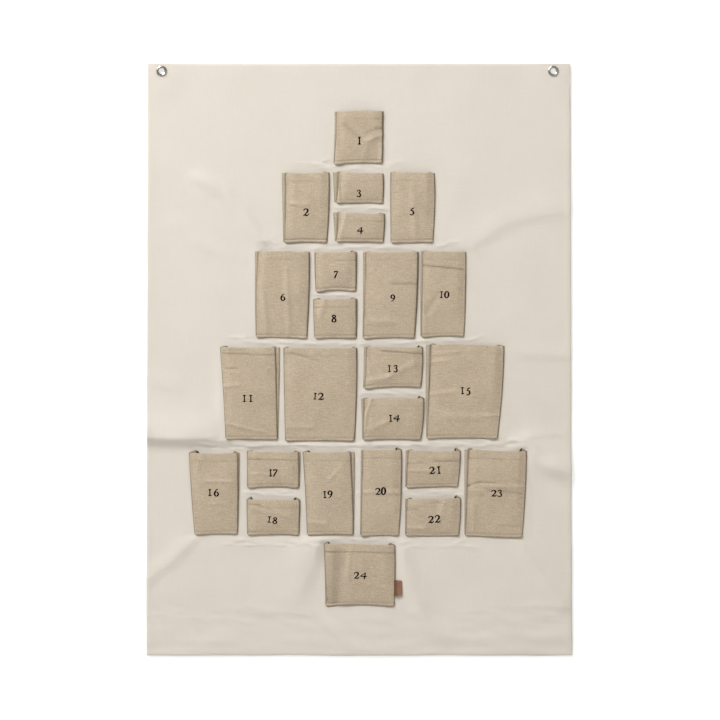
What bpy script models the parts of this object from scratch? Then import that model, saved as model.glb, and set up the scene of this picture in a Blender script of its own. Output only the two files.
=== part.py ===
# A hanging advent calendar: a hemmed canvas with 24 numbered linen pockets in the shape of a tree.
# Metres, +Z up. The front faces -Y. The wall is at y = 0, and the hems and the backs of the eyelets
# lie on it. z = 0 is the height of the eyelets, and x = 0 is the middle of the canvas.

import math

import bmesh
import bpy
from mathutils import Vector

# Clearance between pieces that lie against each other, overrun of the cutters past what they cut,
# and distance within which the ends of a turned ring are joined
CLEARANCE = 0.0003
CUT_OVERRUN = 0.0020
MERGE_DISTANCE = 0.00001

# Canvas
SIDE_MARGIN = 0.0826            # from the widest row of pockets to the side edge
TOP_MARGIN = 0.0840             # from the top edge to the first row
BOTTOM_MARGIN = 0.0835          # from the last row to the bottom edge
CANVAS_SPREAD = 0.0030          # how much wider each side hangs at the bottom edge
CANVAS_THICKNESS = 0.0008
HEM_LAYERS = 3
TOP_HEM = 0.0250
BOTTOM_HEM = 0.0100
SIDE_HEM = 0.0080
HEM_STEP = 0.0010               # width over which the cloth thins from a hem to one layer
FOLD_HEIGHT = 0.0095            # how far the deepest fold stands out from the wall
FOLD_WIDTH = 0.0300             # half width of a fold
SEAM_MARGIN = 0.0020            # flat canvas kept around the pockets

# Pocket cloth
LINEN_THICKNESS = 0.0008
MOUTH_HEM = 0.0100
MOUTH_LAYERS = 2
PLEAT_FOLD = 0.0120             # depth of the side pleats, half of the flat strip
FLOOR_FOLD = 0.0080             # depth of the pleat along the bottom
PLEAT_BEND = 0.0015             # how far back a pleat starts to turn
PLEAT_LINES = 5                 # lines along a pleat: edge, bend, fold, bend, edge
FOLDED_DEPTH = 0.0040           # canvas to pocket front at the bottom seam
MOUTH_DEPTH = 0.0100            # canvas to pocket front at the mouth
TAB_RISE = 0.0062               # how far a pleat's end stands above the mouth
BELLY = 0.0015                  # how far the middle of a front swells out
MOUTH_SAG = 0.0012              # how far the middle of a mouth falls back and down

# Rows and columns of pockets
ROW_GAP = 0.0125
SPLIT_GAP = 0.0125              # between the two pockets of a split column
COLUMN_GAP = 0.0106
ROW_1_HEIGHT = 0.0970
ROW_2_HEIGHT = 0.1265
ROW_3_HEIGHT = 0.1575
ROW_4_HEIGHT = 0.1705
ROW_5_HEIGHT = 0.1525
ROW_6_HEIGHT = 0.1125
POCKET_1_WIDTH = 0.0875
POCKET_2_WIDTH = 0.0800
POCKET_3_WIDTH = 0.0884
POCKET_5_WIDTH = 0.0777
POCKET_6_WIDTH = 0.0932
POCKET_7_WIDTH = 0.0757
POCKET_9_WIDTH = 0.0960
POCKET_10_WIDTH = 0.0788
POCKET_11_WIDTH = 0.0950
POCKET_12_WIDTH = 0.1269
POCKET_13_WIDTH = 0.1034
POCKET_15_WIDTH = 0.1300
POCKET_16_WIDTH = 0.0799
POCKET_17_WIDTH = 0.0951
POCKET_19_WIDTH = 0.0848
POCKET_20_WIDTH = 0.0719
POCKET_21_WIDTH = 0.0973
POCKET_23_WIDTH = 0.1030
POCKET_24_WIDTH = 0.1257

# Eyelets
EYELET_DROP = 0.0133            # from the top edge to the centre of an eyelet
EYELET_INSET_LEFT = 0.0245
EYELET_INSET_RIGHT = 0.0305
EYELET_BORE_RADIUS = 0.0050
EYELET_FLANGE_RADIUS = 0.0097
EYELET_CROWN = 0.0017           # height of the rolled flange above the canvas
EYELET_METAL = 0.0006
EYELET_LIP_RADIUS = 0.0074
WASHER_RADIUS = 0.0090
EYELET_LAND = 0.0115            # from an eyelet's centre, the canvas that is kept level around it
EYELET_STEPS = 20               # sides of every round piece and hole
# Section of the rolled flange, as shares of its width out from the bore and of its crown
CROWN_SHARES = ((0.0, 0.45), (0.15, 0.88), (0.42, 1.0), (0.74, 0.86), (0.93, 0.50), (1.0, 0.18))

# Leather loop in the side seam of the last pocket
TAG_POCKET = 24
TAG_HEIGHT = 0.0275
TAG_REACH = 0.0124
TAG_LEATHER = 0.0012
TAG_LOW = 0.0195                # from the pocket's bottom seam to the loop's lower edge
TAG_BEND_STEPS = 4              # straight pieces of the loop's bend

# Each row from the top down: its height, and its columns as a width and the pockets in it
ROWS = (
    (ROW_1_HEIGHT, ((POCKET_1_WIDTH, (1,)),)),
    (ROW_2_HEIGHT, ((POCKET_2_WIDTH, (2,)), (POCKET_3_WIDTH, (3, 4)), (POCKET_5_WIDTH, (5,)))),
    (ROW_3_HEIGHT, ((POCKET_6_WIDTH, (6,)), (POCKET_7_WIDTH, (7, 8)), (POCKET_9_WIDTH, (9,)),
                    (POCKET_10_WIDTH, (10,)))),
    (ROW_4_HEIGHT, ((POCKET_11_WIDTH, (11,)), (POCKET_12_WIDTH, (12,)), (POCKET_13_WIDTH, (13, 14)),
                    (POCKET_15_WIDTH, (15,)))),
    (ROW_5_HEIGHT, ((POCKET_16_WIDTH, (16,)), (POCKET_17_WIDTH, (17, 18)), (POCKET_19_WIDTH, (19,)),
                    (POCKET_20_WIDTH, (20,)), (POCKET_21_WIDTH, (21, 22)), (POCKET_23_WIDTH, (23,)))),
    (ROW_6_HEIGHT, ((POCKET_24_WIDTH, (24,)),)),
)

# Gap above each row, as shares of ROW_GAP, and between its columns, as shares of COLUMN_GAP
ROW_GAP_SHARES = (0.0, 1.10, 0.90, 0.94, 1.36, 0.98)
COLUMN_GAP_SHARES = ((), (1.10, 0.93), (1.09, 0.84, 0.72), (1.00, 1.20, 0.80),
                     (1.42, 0.90, 1.04, 0.77, 0.84), ())
# How far each row sits off the middle, as shares of COLUMN_GAP
ROW_SHIFT_SHARES = (-0.18, -0.13, 0.18, 0.51, -0.16, 0.12)
# A split column, by its upper pocket: gap as a share of SPLIT_GAP, upper part of the cloth height
SPLIT_SHARES = {3: (1.04, 0.51), 7: (0.75, 0.50), 13: (1.10, 0.49), 17: (1.50, 0.50), 21: (1.50, 0.50)}
# How much a pocket sits above its row, as a share of ROW_GAP
LIFT_SHARES = {10: 0.08, 12: -0.08, 15: 0.28, 20: 0.10, 22: -0.08, 23: -0.20}
# How far each pocket's outline leans out at the mouth, left and right, and how far its front leans
# over to the right of its seams, as shares of COLUMN_GAP
LEAN_SHARES = {
    1: (0.00, 0.33, 0.00), 2: (0.33, 0.50, 0.42), 3: (0.42, 0.50, 0.42), 4: (0.33, 0.50, 0.33),
    5: (0.25, 0.62, 0.17), 6: (0.25, 0.58, 0.50), 7: (0.17, 0.17, -0.33), 8: (0.25, 0.08, 0.00),
    9: (0.00, 0.60, 0.50), 10: (0.00, 0.72, 0.50), 11: (0.88, 0.33, -0.50), 12: (0.42, 0.67, 0.08),
    13: (0.17, 0.42, 0.33), 14: (0.33, 0.42, 0.42), 15: (0.08, 1.30, 0.67), 16: (0.90, 0.50, -0.50),
    17: (0.33, 0.25, -0.50), 18: (0.50, 0.33, 0.00), 19: (0.42, 0.17, -0.50), 20: (0.00, 0.50, 0.42),
    21: (0.17, 0.25, 0.33), 22: (0.20, 0.33, 0.42), 23: (0.17, 1.30, 0.75), 24: (0.33, 0.33, 0.00),
}
# How far the pleats stand above the mouth, left and right, as shares of TAB_RISE
TAB_SHARES = {
    1: (0.1, 0.3), 2: (0.2, 0.2), 3: (0.3, 0.2), 4: (0.2, 0.2), 5: (0.2, 0.4), 6: (0.3, 0.2),
    7: (0.2, 0.5), 8: (0.1, 0.5), 9: (0.2, 0.2), 10: (0.2, 0.3), 11: (0.5, 0.3), 12: (0.4, 0.4),
    13: (0.3, 0.3), 14: (0.3, 0.9), 15: (0.4, 0.4), 16: (0.9, 0.8), 17: (0.3, 0.8), 18: (0.9, 0.9),
    19: (0.9, 0.4), 20: (0.4, 0.9), 21: (0.4, 1.0), 22: (0.8, 0.9), 23: (0.9, 1.0), 24: (0.6, 0.6),
}
# Places up a pocket where its front bends, apart from its seam, hem and mouth, as shares of height
FRONT_BEND_SHARES = (0.16, 0.50)
FRONT_COLUMNS = 6               # cells across a front
# Folds of the canvas: both ends across and up, as shares of its width and height, then the fold's
# height and half width, as shares of FOLD_HEIGHT and FOLD_WIDTH
FOLD_SHARES = (
    (0.00, 0.388, 0.17, 0.386, 1.00, 0.85),
    (0.87, 0.380, 1.00, 0.405, 0.75, 0.85),
    (0.94, 0.310, 1.00, 0.296, 0.50, 0.80),
    (0.10, 0.795, 0.25, 0.700, 0.55, 0.95),
    (0.03, 0.745, 0.12, 0.690, 0.35, 0.80),
    (0.94, 0.750, 0.77, 0.700, 0.55, 0.95),
    (0.39, 0.170, 0.29, 0.075, 0.75, 1.10),
    (0.61, 0.140, 0.70, 0.040, 0.55, 1.10),
    (0.10, 0.180, 0.01, 0.130, 0.45, 0.90),
    (0.90, 0.180, 0.98, 0.110, 0.70, 0.95),
    (0.02, 0.045, 0.30, 0.030, 0.30, 0.90),
    (0.72, 0.030, 0.97, 0.050, 0.35, 0.90),
)
# Extra rows of the canvas mesh, as shares of the span that they divide
MARGIN_ROW_SHARES = (0.38, 0.72)
ROW_SPLIT_SHARES = ((0.5,), (0.5,), (0.33, 0.67), (0.33, 0.67), (0.45, 0.85), (0.5,))

# Colours as linear red, green and blue, then roughness and metallic
CANVAS_FINISH = ((0.78, 0.74, 0.67, 1.0), 0.92, 0.0)
LINEN_FINISH = ((0.47, 0.38, 0.28, 1.0), 0.90, 0.0)
NICKEL_FINISH = ((0.55, 0.54, 0.52, 1.0), 0.32, 1.0)
LEATHER_FINISH = ((0.35, 0.16, 0.09, 1.0), 0.62, 0.0)

HEM_THICKNESS = HEM_LAYERS * CANVAS_THICKNESS
CANVAS_FRONT = -HEM_THICKNESS   # y of the canvas's face, where it lies flat
CANVAS_TOP = EYELET_DROP
# How far the washer and the lip of an eyelet hold the hem off the wall
EYELET_STAND = CLEARANCE + EYELET_METAL + CLEARANCE + EYELET_METAL


def clear_scene():
    for item in list(bpy.data.objects):
        bpy.data.objects.remove(item)


def new_collection(name):
    collection = bpy.data.collections.new(name)
    bpy.context.scene.collection.children.link(collection)
    return collection


def make_material(name, finish):
    colour, roughness, metallic = finish
    material = bpy.data.materials.new(name)
    material.use_nodes = True
    shader = material.node_tree.nodes["Principled BSDF"]
    shader.inputs["Base Color"].default_value = colour
    shader.inputs["Roughness"].default_value = roughness
    shader.inputs["Metallic"].default_value = metallic
    return material


def row_width(row):
    """Sewn width of a row of pockets, gaps included."""
    columns = ROWS[row][1]
    return sum(width for width, _ in columns) + COLUMN_GAP * sum(COLUMN_GAP_SHARES[row])


def lay_out_pockets():
    """Each pocket's place: its sewn edges, its leans and its row."""
    pockets = []
    top = CANVAS_TOP - TOP_MARGIN
    for row, (height, columns) in enumerate(ROWS):
        top -= ROW_GAP * ROW_GAP_SHARES[row]
        left = COLUMN_GAP * ROW_SHIFT_SHARES[row] - row_width(row) / 2
        gaps = COLUMN_GAP_SHARES[row] + (0.0,)
        for (width, numbers), gap_share in zip(columns, gaps):
            for number, low, high in split_column(numbers, top - height, top):
                lift = ROW_GAP * LIFT_SHARES.get(number, 0.0)
                lean_left, lean_right, lean_over = LEAN_SHARES[number]
                pockets.append({
                    "number": number, "row": row, "left": left, "right": left + width,
                    "bottom": low + lift, "top": high + lift,
                    "lean_left": COLUMN_GAP * lean_left, "lean_right": COLUMN_GAP * lean_right,
                    "lean_over": COLUMN_GAP * lean_over,
                })
            left += width + COLUMN_GAP * gap_share
        top -= height
    return pockets


def split_column(numbers, bottom, top):
    """The one pocket of a column, or the two that share its height."""
    if len(numbers) == 1:
        return [(numbers[0], bottom, top)]
    gap_share, upper_share = SPLIT_SHARES[numbers[0]]
    gap = SPLIT_GAP * gap_share
    upper = (top - bottom - gap) * upper_share
    return [(numbers[0], top - upper, top), (numbers[1], bottom, top - upper - gap)]


def front_edges(pocket, share):
    """x of the left and right edge of a pocket's front, at a share of its height."""
    left = pocket["left"] + share * (max(pocket["lean_over"], 0) - pocket["lean_left"])
    right = pocket["right"] + share * (min(pocket["lean_over"], 0) + pocket["lean_right"])
    return left, right


def seam_edges(pocket, share):
    """x of the left and right seam on the canvas, at a share of the pocket's height."""
    left = pocket["left"] - share * (min(pocket["lean_over"], 0) + pocket["lean_left"])
    right = pocket["right"] - share * (max(pocket["lean_over"], 0) - pocket["lean_right"])
    return left, right


def pocket_depth(share):
    """From the canvas to the inside of a pocket's front, at a share of its height."""
    return FOLDED_DEPTH + (MOUTH_DEPTH - FOLDED_DEPTH) * (1 - (1 - share) ** 2)


def hem_shares(pocket):
    """Where the mouth hem starts and where it has its full thickness, as shares of the height."""
    height = pocket["top"] - pocket["bottom"]
    return 1 - (MOUTH_HEM + HEM_STEP) / height, 1 - MOUTH_HEM / height


def opening_angle(pocket):
    """How far the front turns before its side pleats are flat."""
    travel = PLEAT_FOLD + PLEAT_FOLD - MOUTH_DEPTH
    return math.asin(travel / (pocket["top"] - pocket["bottom"]))


def add_part(name, bm, material, collection, origin, parent=None):
    """A named piece from a mesh made in place, with the object's own origin at the given point."""
    bmesh.ops.translate(bm, verts=bm.verts, vec=-origin)
    mesh = bpy.data.meshes.new(name)
    bm.to_mesh(mesh)
    bm.free()
    mesh.materials.append(material)
    part = bpy.data.objects.new(name, mesh)
    part.location = origin
    if parent:
        part.parent = parent
        part.location = origin - parent.location
    collection.objects.link(part)
    return part


def add_solidify(part, thickness, offset, layers=1, thick_verts=()):
    """Wall thickness for an open surface: all of it on the given vertices, one layer elsewhere."""
    wall = part.modifiers.new("wall", "SOLIDIFY")
    wall.thickness = thickness * layers
    wall.offset = offset
    wall.use_even_offset = True
    if layers > 1:
        group = part.vertex_groups.new(name="hem")
        group.add(thick_verts, 1.0, "REPLACE")
        wall.vertex_group = group.name
        wall.thickness_vertex_group = 1.0 / layers


def grid_of(columns, rows):
    """A flat grid of so many lines each way, and each of its vertices with its column and row."""
    across, up = columns - 1, rows - 1
    bm = bmesh.new()
    bmesh.ops.create_grid(bm, x_segments=across, y_segments=up, size=0.5)
    bm.verts.index_update()
    return bm, [(v, round((v.co.x + 0.5) * across), round((v.co.y + 0.5) * up)) for v in bm.verts]


def covered_boxes(pockets):
    """The stretch of canvas that each row of pockets covers: left, right, bottom and top."""
    boxes = []
    for row in range(len(ROWS)):
        here = [pocket for pocket in pockets if pocket["row"] == row]
        outer = [x for pocket in here for x in seam_edges(pocket, 0) + seam_edges(pocket, 1)]
        boxes.append((
            min(outer) - SEAM_MARGIN, max(outer) + SEAM_MARGIN,
            min(pocket["bottom"] for pocket in here) - SEAM_MARGIN,
            max(pocket["top"] for pocket in here) + TAB_RISE + SEAM_MARGIN,
        ))
    return boxes


def canvas_size(boxes):
    """Half the width of the canvas at its top, and z of its bottom edge."""
    widest = max(row_width(row) for row in range(len(ROWS)))
    return widest / 2 + SIDE_MARGIN, boxes[-1][2] + SEAM_MARGIN - BOTTOM_MARGIN


def canvas_columns(half, boxes):
    """x of the lines that divide the canvas across: those of its margins and of its pocket rows."""
    lefts = spaced(sorted(box[0] for box in boxes))
    rights = spaced(sorted(box[1] for box in boxes))
    left_insets = margin_insets(EYELET_INSET_LEFT, half + lefts[0])
    right_insets = margin_insets(EYELET_INSET_RIGHT, half - rights[-1])
    return ([inset - half for inset in left_insets] + lefts
            + rights + [half - inset for inset in reversed(right_insets)])


def margin_insets(eyelet, margin):
    """How far in from a side edge the lines of its margin lie: edge, hem, eyelet and beyond it."""
    inner = eyelet + EYELET_LAND
    return [0.0, SIDE_HEM, SIDE_HEM + HEM_STEP, eyelet - EYELET_LAND, inner, (inner + margin) / 2]


def spaced(lines):
    """The lines without any that comes closer than a side hem to the one before it."""
    kept = lines[:1]
    for line in lines[1:]:
        if line - kept[-1] > SIDE_HEM:
            kept.append(line)
    return kept


def canvas_rows(bottom, boxes):
    """z of the lines that divide the canvas up its height: hems, margins, rows and gaps."""
    hem = bottom + BOTTOM_HEM
    low = boxes[-1][2]
    lines = [bottom, hem, hem + HEM_STEP]
    lines += [hem + (low - hem) * share for share in MARGIN_ROW_SHARES]
    for row in reversed(range(len(ROWS))):
        lines.append(low)
        high = boxes[row][3] if row == 0 else (boxes[row][3] + boxes[row - 1][2]) / 2
        lines += [low + (high - low) * share for share in reversed(ROW_SPLIT_SHARES[row])]
        low = high
    top_hem = CANVAS_TOP - TOP_HEM
    return sorted(lines) + [low, top_hem - HEM_STEP, top_hem, CANVAS_TOP]


def fold_relief(x, z, half, bottom):
    """How far the folds of the canvas stand out at a point."""
    width = half + half
    height = CANVAS_TOP - bottom
    relief = 0.0
    for x_start, z_start, x_end, z_end, rise_share, width_share in FOLD_SHARES:
        start = Vector((x_start * width - half, z_start * height + bottom))
        along = Vector((x_end * width - half, z_end * height + bottom)) - start
        offset = Vector((x, z)) - start
        reach = min(max(offset.dot(along) / along.length_squared, 0.0), 1.0)
        away = (offset - along * reach).length / (FOLD_WIDTH * width_share)
        relief = max(relief, FOLD_HEIGHT * rise_share * math.exp(-away * away))
    return relief


def stand_off(x, half):
    """How far the top hem stands off the wall: only at its ends, where the eyelets hold it off."""
    at_left = x <= EYELET_INSET_LEFT + EYELET_LAND - half
    at_right = x >= half - (EYELET_INSET_RIGHT + EYELET_LAND)
    return EYELET_STAND if at_left or at_right else 0.0


def borders_on_pockets(column, row, xs, zs, boxes):
    """Whether a point of the canvas mesh is a corner of a cell behind pockets."""
    x_low, x_high = xs[max(column - 1, 0)], xs[min(column + 1, len(xs) - 1)]
    z_low, z_high = zs[max(row - 1, 0)], zs[min(row + 1, len(zs) - 1)]
    return any(x_low < right and x_high > left and z_low < top and z_high > bottom
               for left, right, bottom, top in boxes)


def relief_at(column, row, xs, zs, boxes):
    """How far a point of the canvas mesh stands off the wall: not at all beside the pockets."""
    x, z, half, bottom = xs[column], zs[row], xs[-1], zs[0]
    if z >= CANVAS_TOP - TOP_HEM - HEM_STEP:
        return stand_off(x, half)
    if borders_on_pockets(column, row, xs, zs, boxes):
        return 0.0
    return fold_relief(x, z, half, bottom)


def make_canvas(pockets, material, collection, cutters):
    """The canvas, its hems turned to the back, its main folds, and a hole for each eyelet."""
    boxes = covered_boxes(pockets)
    half, bottom = canvas_size(boxes)
    xs, zs = canvas_columns(half, boxes), canvas_rows(bottom, boxes)
    bm, places = grid_of(len(xs), len(zs))
    inner = max(max(-left, right) for left, right, _, _ in boxes)
    hems = []
    for vert, column, row in places:
        x, z = xs[column], zs[row]
        relief = relief_at(column, row, xs, zs, boxes)
        drop = (CANVAS_TOP - z) / (CANVAS_TOP - bottom)
        outside = max(abs(x) - inner, 0.0) / (half - inner)
        vert.co = (x + math.copysign(CANVAS_SPREAD * drop * outside, x), CANVAS_FRONT - relief, z)
        if abs(x) >= half - SIDE_HEM or not bottom + BOTTOM_HEM < z < CANVAS_TOP - TOP_HEM:
            hems.append(vert.index)
    canvas = add_part("backing_canvas", bm, material, collection, Vector())
    add_solidify(canvas, CANVAS_THICKNESS, -1.0, HEM_LAYERS, hems)
    for cutter in cutters:
        hole = canvas.modifiers.new(cutter.name, "BOOLEAN")
        hole.operation = "DIFFERENCE"
        hole.solver = "EXACT"
        hole.object = cutter
    return canvas


def make_front(pocket, material, collection):
    """A pocket's front: sewn to the canvas along its bottom, it turns up and ends in a hem."""
    hem_start, hem_full = hem_shares(pocket)
    shares = (0.0, 0.0) + FRONT_BEND_SHARES + (hem_start, hem_full, 1.0)
    height = pocket["top"] - pocket["bottom"]
    bm, places = grid_of(FRONT_COLUMNS + 1, len(shares))
    hem = []
    for vert, column, row in places:
        share = shares[row]
        left, right = front_edges(pocket, share)
        across = column / FRONT_COLUMNS
        arch = math.sin(math.pi * across)
        y = CANVAS_FRONT - CLEARANCE
        if row > 0:
            y = CANVAS_FRONT - pocket_depth(share) - LINEN_THICKNESS
        y += arch * (MOUTH_SAG * share ** 3 - BELLY * math.sin(math.pi * share))
        z = pocket["bottom"] + height * share - MOUTH_SAG * arch * share ** 3
        vert.co = (left + (right - left) * across, y, z)
        if row >= len(shares) - 2:
            hem.append(vert.index)
    origin = hinge_point(pocket)
    front = add_part(f"pocket_{pocket['number']:02d}_front", bm, material, collection, origin)
    add_solidify(front, LINEN_THICKNESS, -1.0, MOUTH_LAYERS, hem)
    opening = front.constraints.new("LIMIT_ROTATION")
    opening.owner_space = "LOCAL"
    opening.use_limit_x = True
    opening.max_x = opening_angle(pocket)
    return front


def hinge_point(pocket):
    """The middle of the seam that the front turns about."""
    return Vector(((pocket["left"] + pocket["right"]) / 2, CANVAS_FRONT - CLEARANCE, pocket["bottom"]))


def pleat_depths(pocket, share):
    """Depths from the canvas of the five lines of a pleat: canvas edge, bend, fold, bend, front."""
    back = CLEARANCE + LINEN_THICKNESS / 2
    hem = LINEN_THICKNESS * (MOUTH_LAYERS - 1) if share >= hem_shares(pocket)[0] else 0.0
    front = pocket_depth(share) - hem - back
    middle = (back + front) / 2
    bend = min(PLEAT_BEND, (front - back) / 2)
    return back, middle - bend, middle, middle + bend, front


def make_gusset(pocket, material, collection):
    """A pocket's gusset: down the left side, along the bottom and up the right, pleated inwards."""
    shares = (1.0, hem_shares(pocket)[0], FRONT_BEND_SHARES[-1], 0.0)
    path = [(0, share) for share in shares] + [(1, share) for share in reversed(shares)]
    height = pocket["top"] - pocket["bottom"]
    floor = pocket["bottom"] + LINEN_THICKNESS + CLEARANCE + LINEN_THICKNESS / 2
    tab_rises = [TAB_RISE * share for share in TAB_SHARES[pocket["number"]]]
    bm, places = grid_of(len(path), PLEAT_LINES)
    for vert, step, line in places:
        side, share = path[step]
        seam, front = seam_edges(pocket, share)[side], front_edges(pocket, share)[side]
        inward = -1 if side else 1
        fold = (seam + front) / 2 + inward * PLEAT_FOLD
        bend = fold - inward * PLEAT_BEND
        x = (seam, bend, fold, bend, front)[line]
        y = CANVAS_FRONT - pleat_depths(pocket, share)[line]
        z = pocket["bottom"] + height * share
        if share == 0.0:
            rise = FLOOR_FOLD - PLEAT_BEND
            z = floor + (0.0, rise, FLOOR_FOLD, rise, 0.0)[line]
        if share == 1.0 and line == 0:
            z += tab_rises[side]
        vert.co = (x, y, z)
    origin = hinge_point(pocket)
    gusset = add_part(f"pocket_{pocket['number']:02d}_gusset", bm, material, collection, origin)
    add_solidify(gusset, LINEN_THICKNESS, 0.0)
    return gusset


def turned_part(name, profile, place, material, collection):
    """A ring from its section, given as radius and height in front of the hem's back."""
    bm = bmesh.new()
    verts = [bm.verts.new((radius, 0.0, height)) for radius, height in profile]
    for start, end in zip(verts, verts[1:] + verts[:1]):
        bm.edges.new((start, end))
    part = add_part(name, bm, material, collection, Vector())
    part.location = place
    part.rotation_euler = (math.pi / 2, 0.0, 0.0)
    turn = part.modifiers.new("turn", "SCREW")
    turn.steps = EYELET_STEPS
    turn.render_steps = EYELET_STEPS
    turn.use_merge_vertices = True
    turn.merge_threshold = MERGE_DISTANCE
    return part


def eyelet_profile():
    """Section of an eyelet, from the rim of its bore over the flange, the barrel and the lip."""
    barrel = EYELET_BORE_RADIUS + EYELET_METAL
    under = HEM_THICKNESS + CLEARANCE
    behind = EYELET_METAL - EYELET_STAND
    width = EYELET_FLANGE_RADIUS - EYELET_BORE_RADIUS
    crown = [(EYELET_BORE_RADIUS + width * out, under + EYELET_CROWN * up)
             for out, up in CROWN_SHARES]
    return crown + [
        (EYELET_FLANGE_RADIUS, under), (barrel, under), (barrel, behind), (EYELET_LIP_RADIUS, behind),
        (EYELET_LIP_RADIUS, -EYELET_STAND), (EYELET_BORE_RADIUS, -EYELET_STAND),
    ]


def washer_profile():
    """Section of the flat ring behind the hem."""
    inner = EYELET_BORE_RADIUS + EYELET_METAL + CLEARANCE
    return [(WASHER_RADIUS, -CLEARANCE), (WASHER_RADIUS, -CLEARANCE - EYELET_METAL),
            (inner, -CLEARANCE - EYELET_METAL), (inner, -CLEARANCE)]


def eyelet_places(half):
    """The middle of each eyelet, on the back of the hem."""
    return {"left": Vector((EYELET_INSET_LEFT - half, -EYELET_STAND, CANVAS_TOP - EYELET_DROP)),
            "right": Vector((half - EYELET_INSET_RIGHT, -EYELET_STAND, CANVAS_TOP - EYELET_DROP))}


def make_hole_cutter(name, place, collection):
    """A round cutter through the hem, with running room for an eyelet's barrel."""
    radius = EYELET_BORE_RADIUS + EYELET_METAL + CLEARANCE
    bm = bmesh.new()
    bmesh.ops.create_cone(bm, cap_ends=True, segments=EYELET_STEPS, radius1=radius, radius2=radius,
                          depth=HEM_THICKNESS + CUT_OVERRUN + CUT_OVERRUN)
    mesh = bpy.data.meshes.new(name)
    bm.to_mesh(mesh)
    bm.free()
    cutter = bpy.data.objects.new(name, mesh)
    cutter.location = place + Vector((0.0, CANVAS_FRONT / 2, 0.0))
    cutter.rotation_euler = (math.pi / 2, 0.0, 0.0)
    cutter.hide_render = True
    cutter.display_type = "WIRE"
    collection.objects.link(cutter)
    return cutter


def make_tag(pocket, front, material, collection):
    """The leather loop: a strip folded over, its two ends against the edge of the pocket's front."""
    height = pocket["top"] - pocket["bottom"]
    middle = (TAG_LOW + TAG_HEIGHT / 2) / height
    y = CANVAS_FRONT - pocket_depth(middle) - LINEN_THICKNESS / 2
    spread = (TAG_LEATHER + CLEARANCE) / 2
    straight = TAG_REACH - spread - TAG_LEATHER / 2
    path = [(0.0, spread)]
    for step in range(TAG_BEND_STEPS + 1):
        turn = math.pi * step / TAG_BEND_STEPS
        path.append((straight + spread * math.sin(turn), spread * math.cos(turn)))
    path.append((0.0, -spread))
    levels = (TAG_LOW, TAG_LOW + TAG_HEIGHT)
    bm, places = grid_of(len(path), len(levels))
    for vert, step, level in places:
        z = pocket["bottom"] + levels[level]
        edge = front_edges(pocket, (z - pocket["bottom"]) / height)[1] + CLEARANCE
        vert.co = (edge + path[step][0], y + path[step][1], z)
    origin = Vector((front_edges(pocket, middle)[1], y, pocket["bottom"] + TAG_LOW))
    tag = add_part("leather_tag", bm, material, collection, origin, front)
    add_solidify(tag, TAG_LEATHER, 0.0)
    return tag


def main():
    clear_scene()
    parts = new_collection("advent_calendar")
    cutters = new_collection("cutters")
    canvas_cloth = make_material("canvas", CANVAS_FINISH)
    linen = make_material("linen", LINEN_FINISH)
    nickel = make_material("nickel", NICKEL_FINISH)
    leather = make_material("leather", LEATHER_FINISH)

    pockets = lay_out_pockets()
    half, _ = canvas_size(covered_boxes(pockets))
    holes = []
    for side, place in eyelet_places(half).items():
        holes.append(make_hole_cutter(f"eyelet_hole_{side}", place, cutters))
        turned_part(f"eyelet_{side}", eyelet_profile(), place, nickel, parts)
        turned_part(f"eyelet_washer_{side}", washer_profile(), place, nickel, parts)
    make_canvas(pockets, canvas_cloth, parts, holes)
    for pocket in pockets:
        make_gusset(pocket, linen, parts)
        front = make_front(pocket, linen, parts)
        if pocket["number"] == TAG_POCKET:
            make_tag(pocket, front, leather, parts)


main()
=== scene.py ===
# A hanging advent calendar: the looks of its canvas, linen pockets, seams, numbers, eyelets and loop.
import math

import bpy
import numpy as np
from mathutils import Matrix, Vector, noise
from mathutils.bvhtree import BVHTree


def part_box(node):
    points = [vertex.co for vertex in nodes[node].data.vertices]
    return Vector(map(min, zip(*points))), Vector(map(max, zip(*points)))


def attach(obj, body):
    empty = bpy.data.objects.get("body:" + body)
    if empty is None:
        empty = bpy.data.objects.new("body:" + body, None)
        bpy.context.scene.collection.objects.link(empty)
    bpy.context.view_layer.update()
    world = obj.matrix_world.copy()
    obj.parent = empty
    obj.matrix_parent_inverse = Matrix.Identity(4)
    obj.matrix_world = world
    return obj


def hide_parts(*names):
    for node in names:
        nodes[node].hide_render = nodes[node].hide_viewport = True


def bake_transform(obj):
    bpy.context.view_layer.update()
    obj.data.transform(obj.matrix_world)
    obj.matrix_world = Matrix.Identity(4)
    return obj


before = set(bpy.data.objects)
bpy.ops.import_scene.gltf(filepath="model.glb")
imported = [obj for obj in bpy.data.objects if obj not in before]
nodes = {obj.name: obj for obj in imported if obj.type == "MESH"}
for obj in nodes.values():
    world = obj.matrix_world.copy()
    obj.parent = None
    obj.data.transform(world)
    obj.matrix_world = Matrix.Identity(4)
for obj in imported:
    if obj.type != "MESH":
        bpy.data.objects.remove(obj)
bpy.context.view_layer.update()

pocketNumbers = range(1, 25)
canvasFace = -0.0024  # y of the canvas's face where it lies flat
canvasSize = {"halfTop": 0.3748, "top": 0.0133, "bottom": -1.0367, "spread": 0.0030}
weldDistance = 0.000005
eyeletPlaces = {"left": (-0.3505, 0.0), "right": (0.3445, 0.0)}


def deselectAll():
    if bpy.context.object and bpy.context.object.mode != "OBJECT":
        bpy.ops.object.mode_set(mode="OBJECT")
    bpy.ops.object.select_all(action="DESELECT")


def chosen(name):
    piece = bpy.context.object
    piece.name = piece.data.name = name
    return piece


def pick(*pieces):  # only these are selected, and the first is active
    deselectAll()
    for piece in pieces:
        piece.select_set(True)
    bpy.context.view_layer.objects.active = pieces[0]


def editAll(*steps):  # edit-mode operators with their settings, each on all of the active piece
    bpy.ops.object.mode_set(mode="EDIT")
    for operator, settings in steps:
        bpy.ops.mesh.select_all(action="SELECT")
        operator(**settings)
    bpy.ops.object.mode_set(mode="OBJECT")


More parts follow.
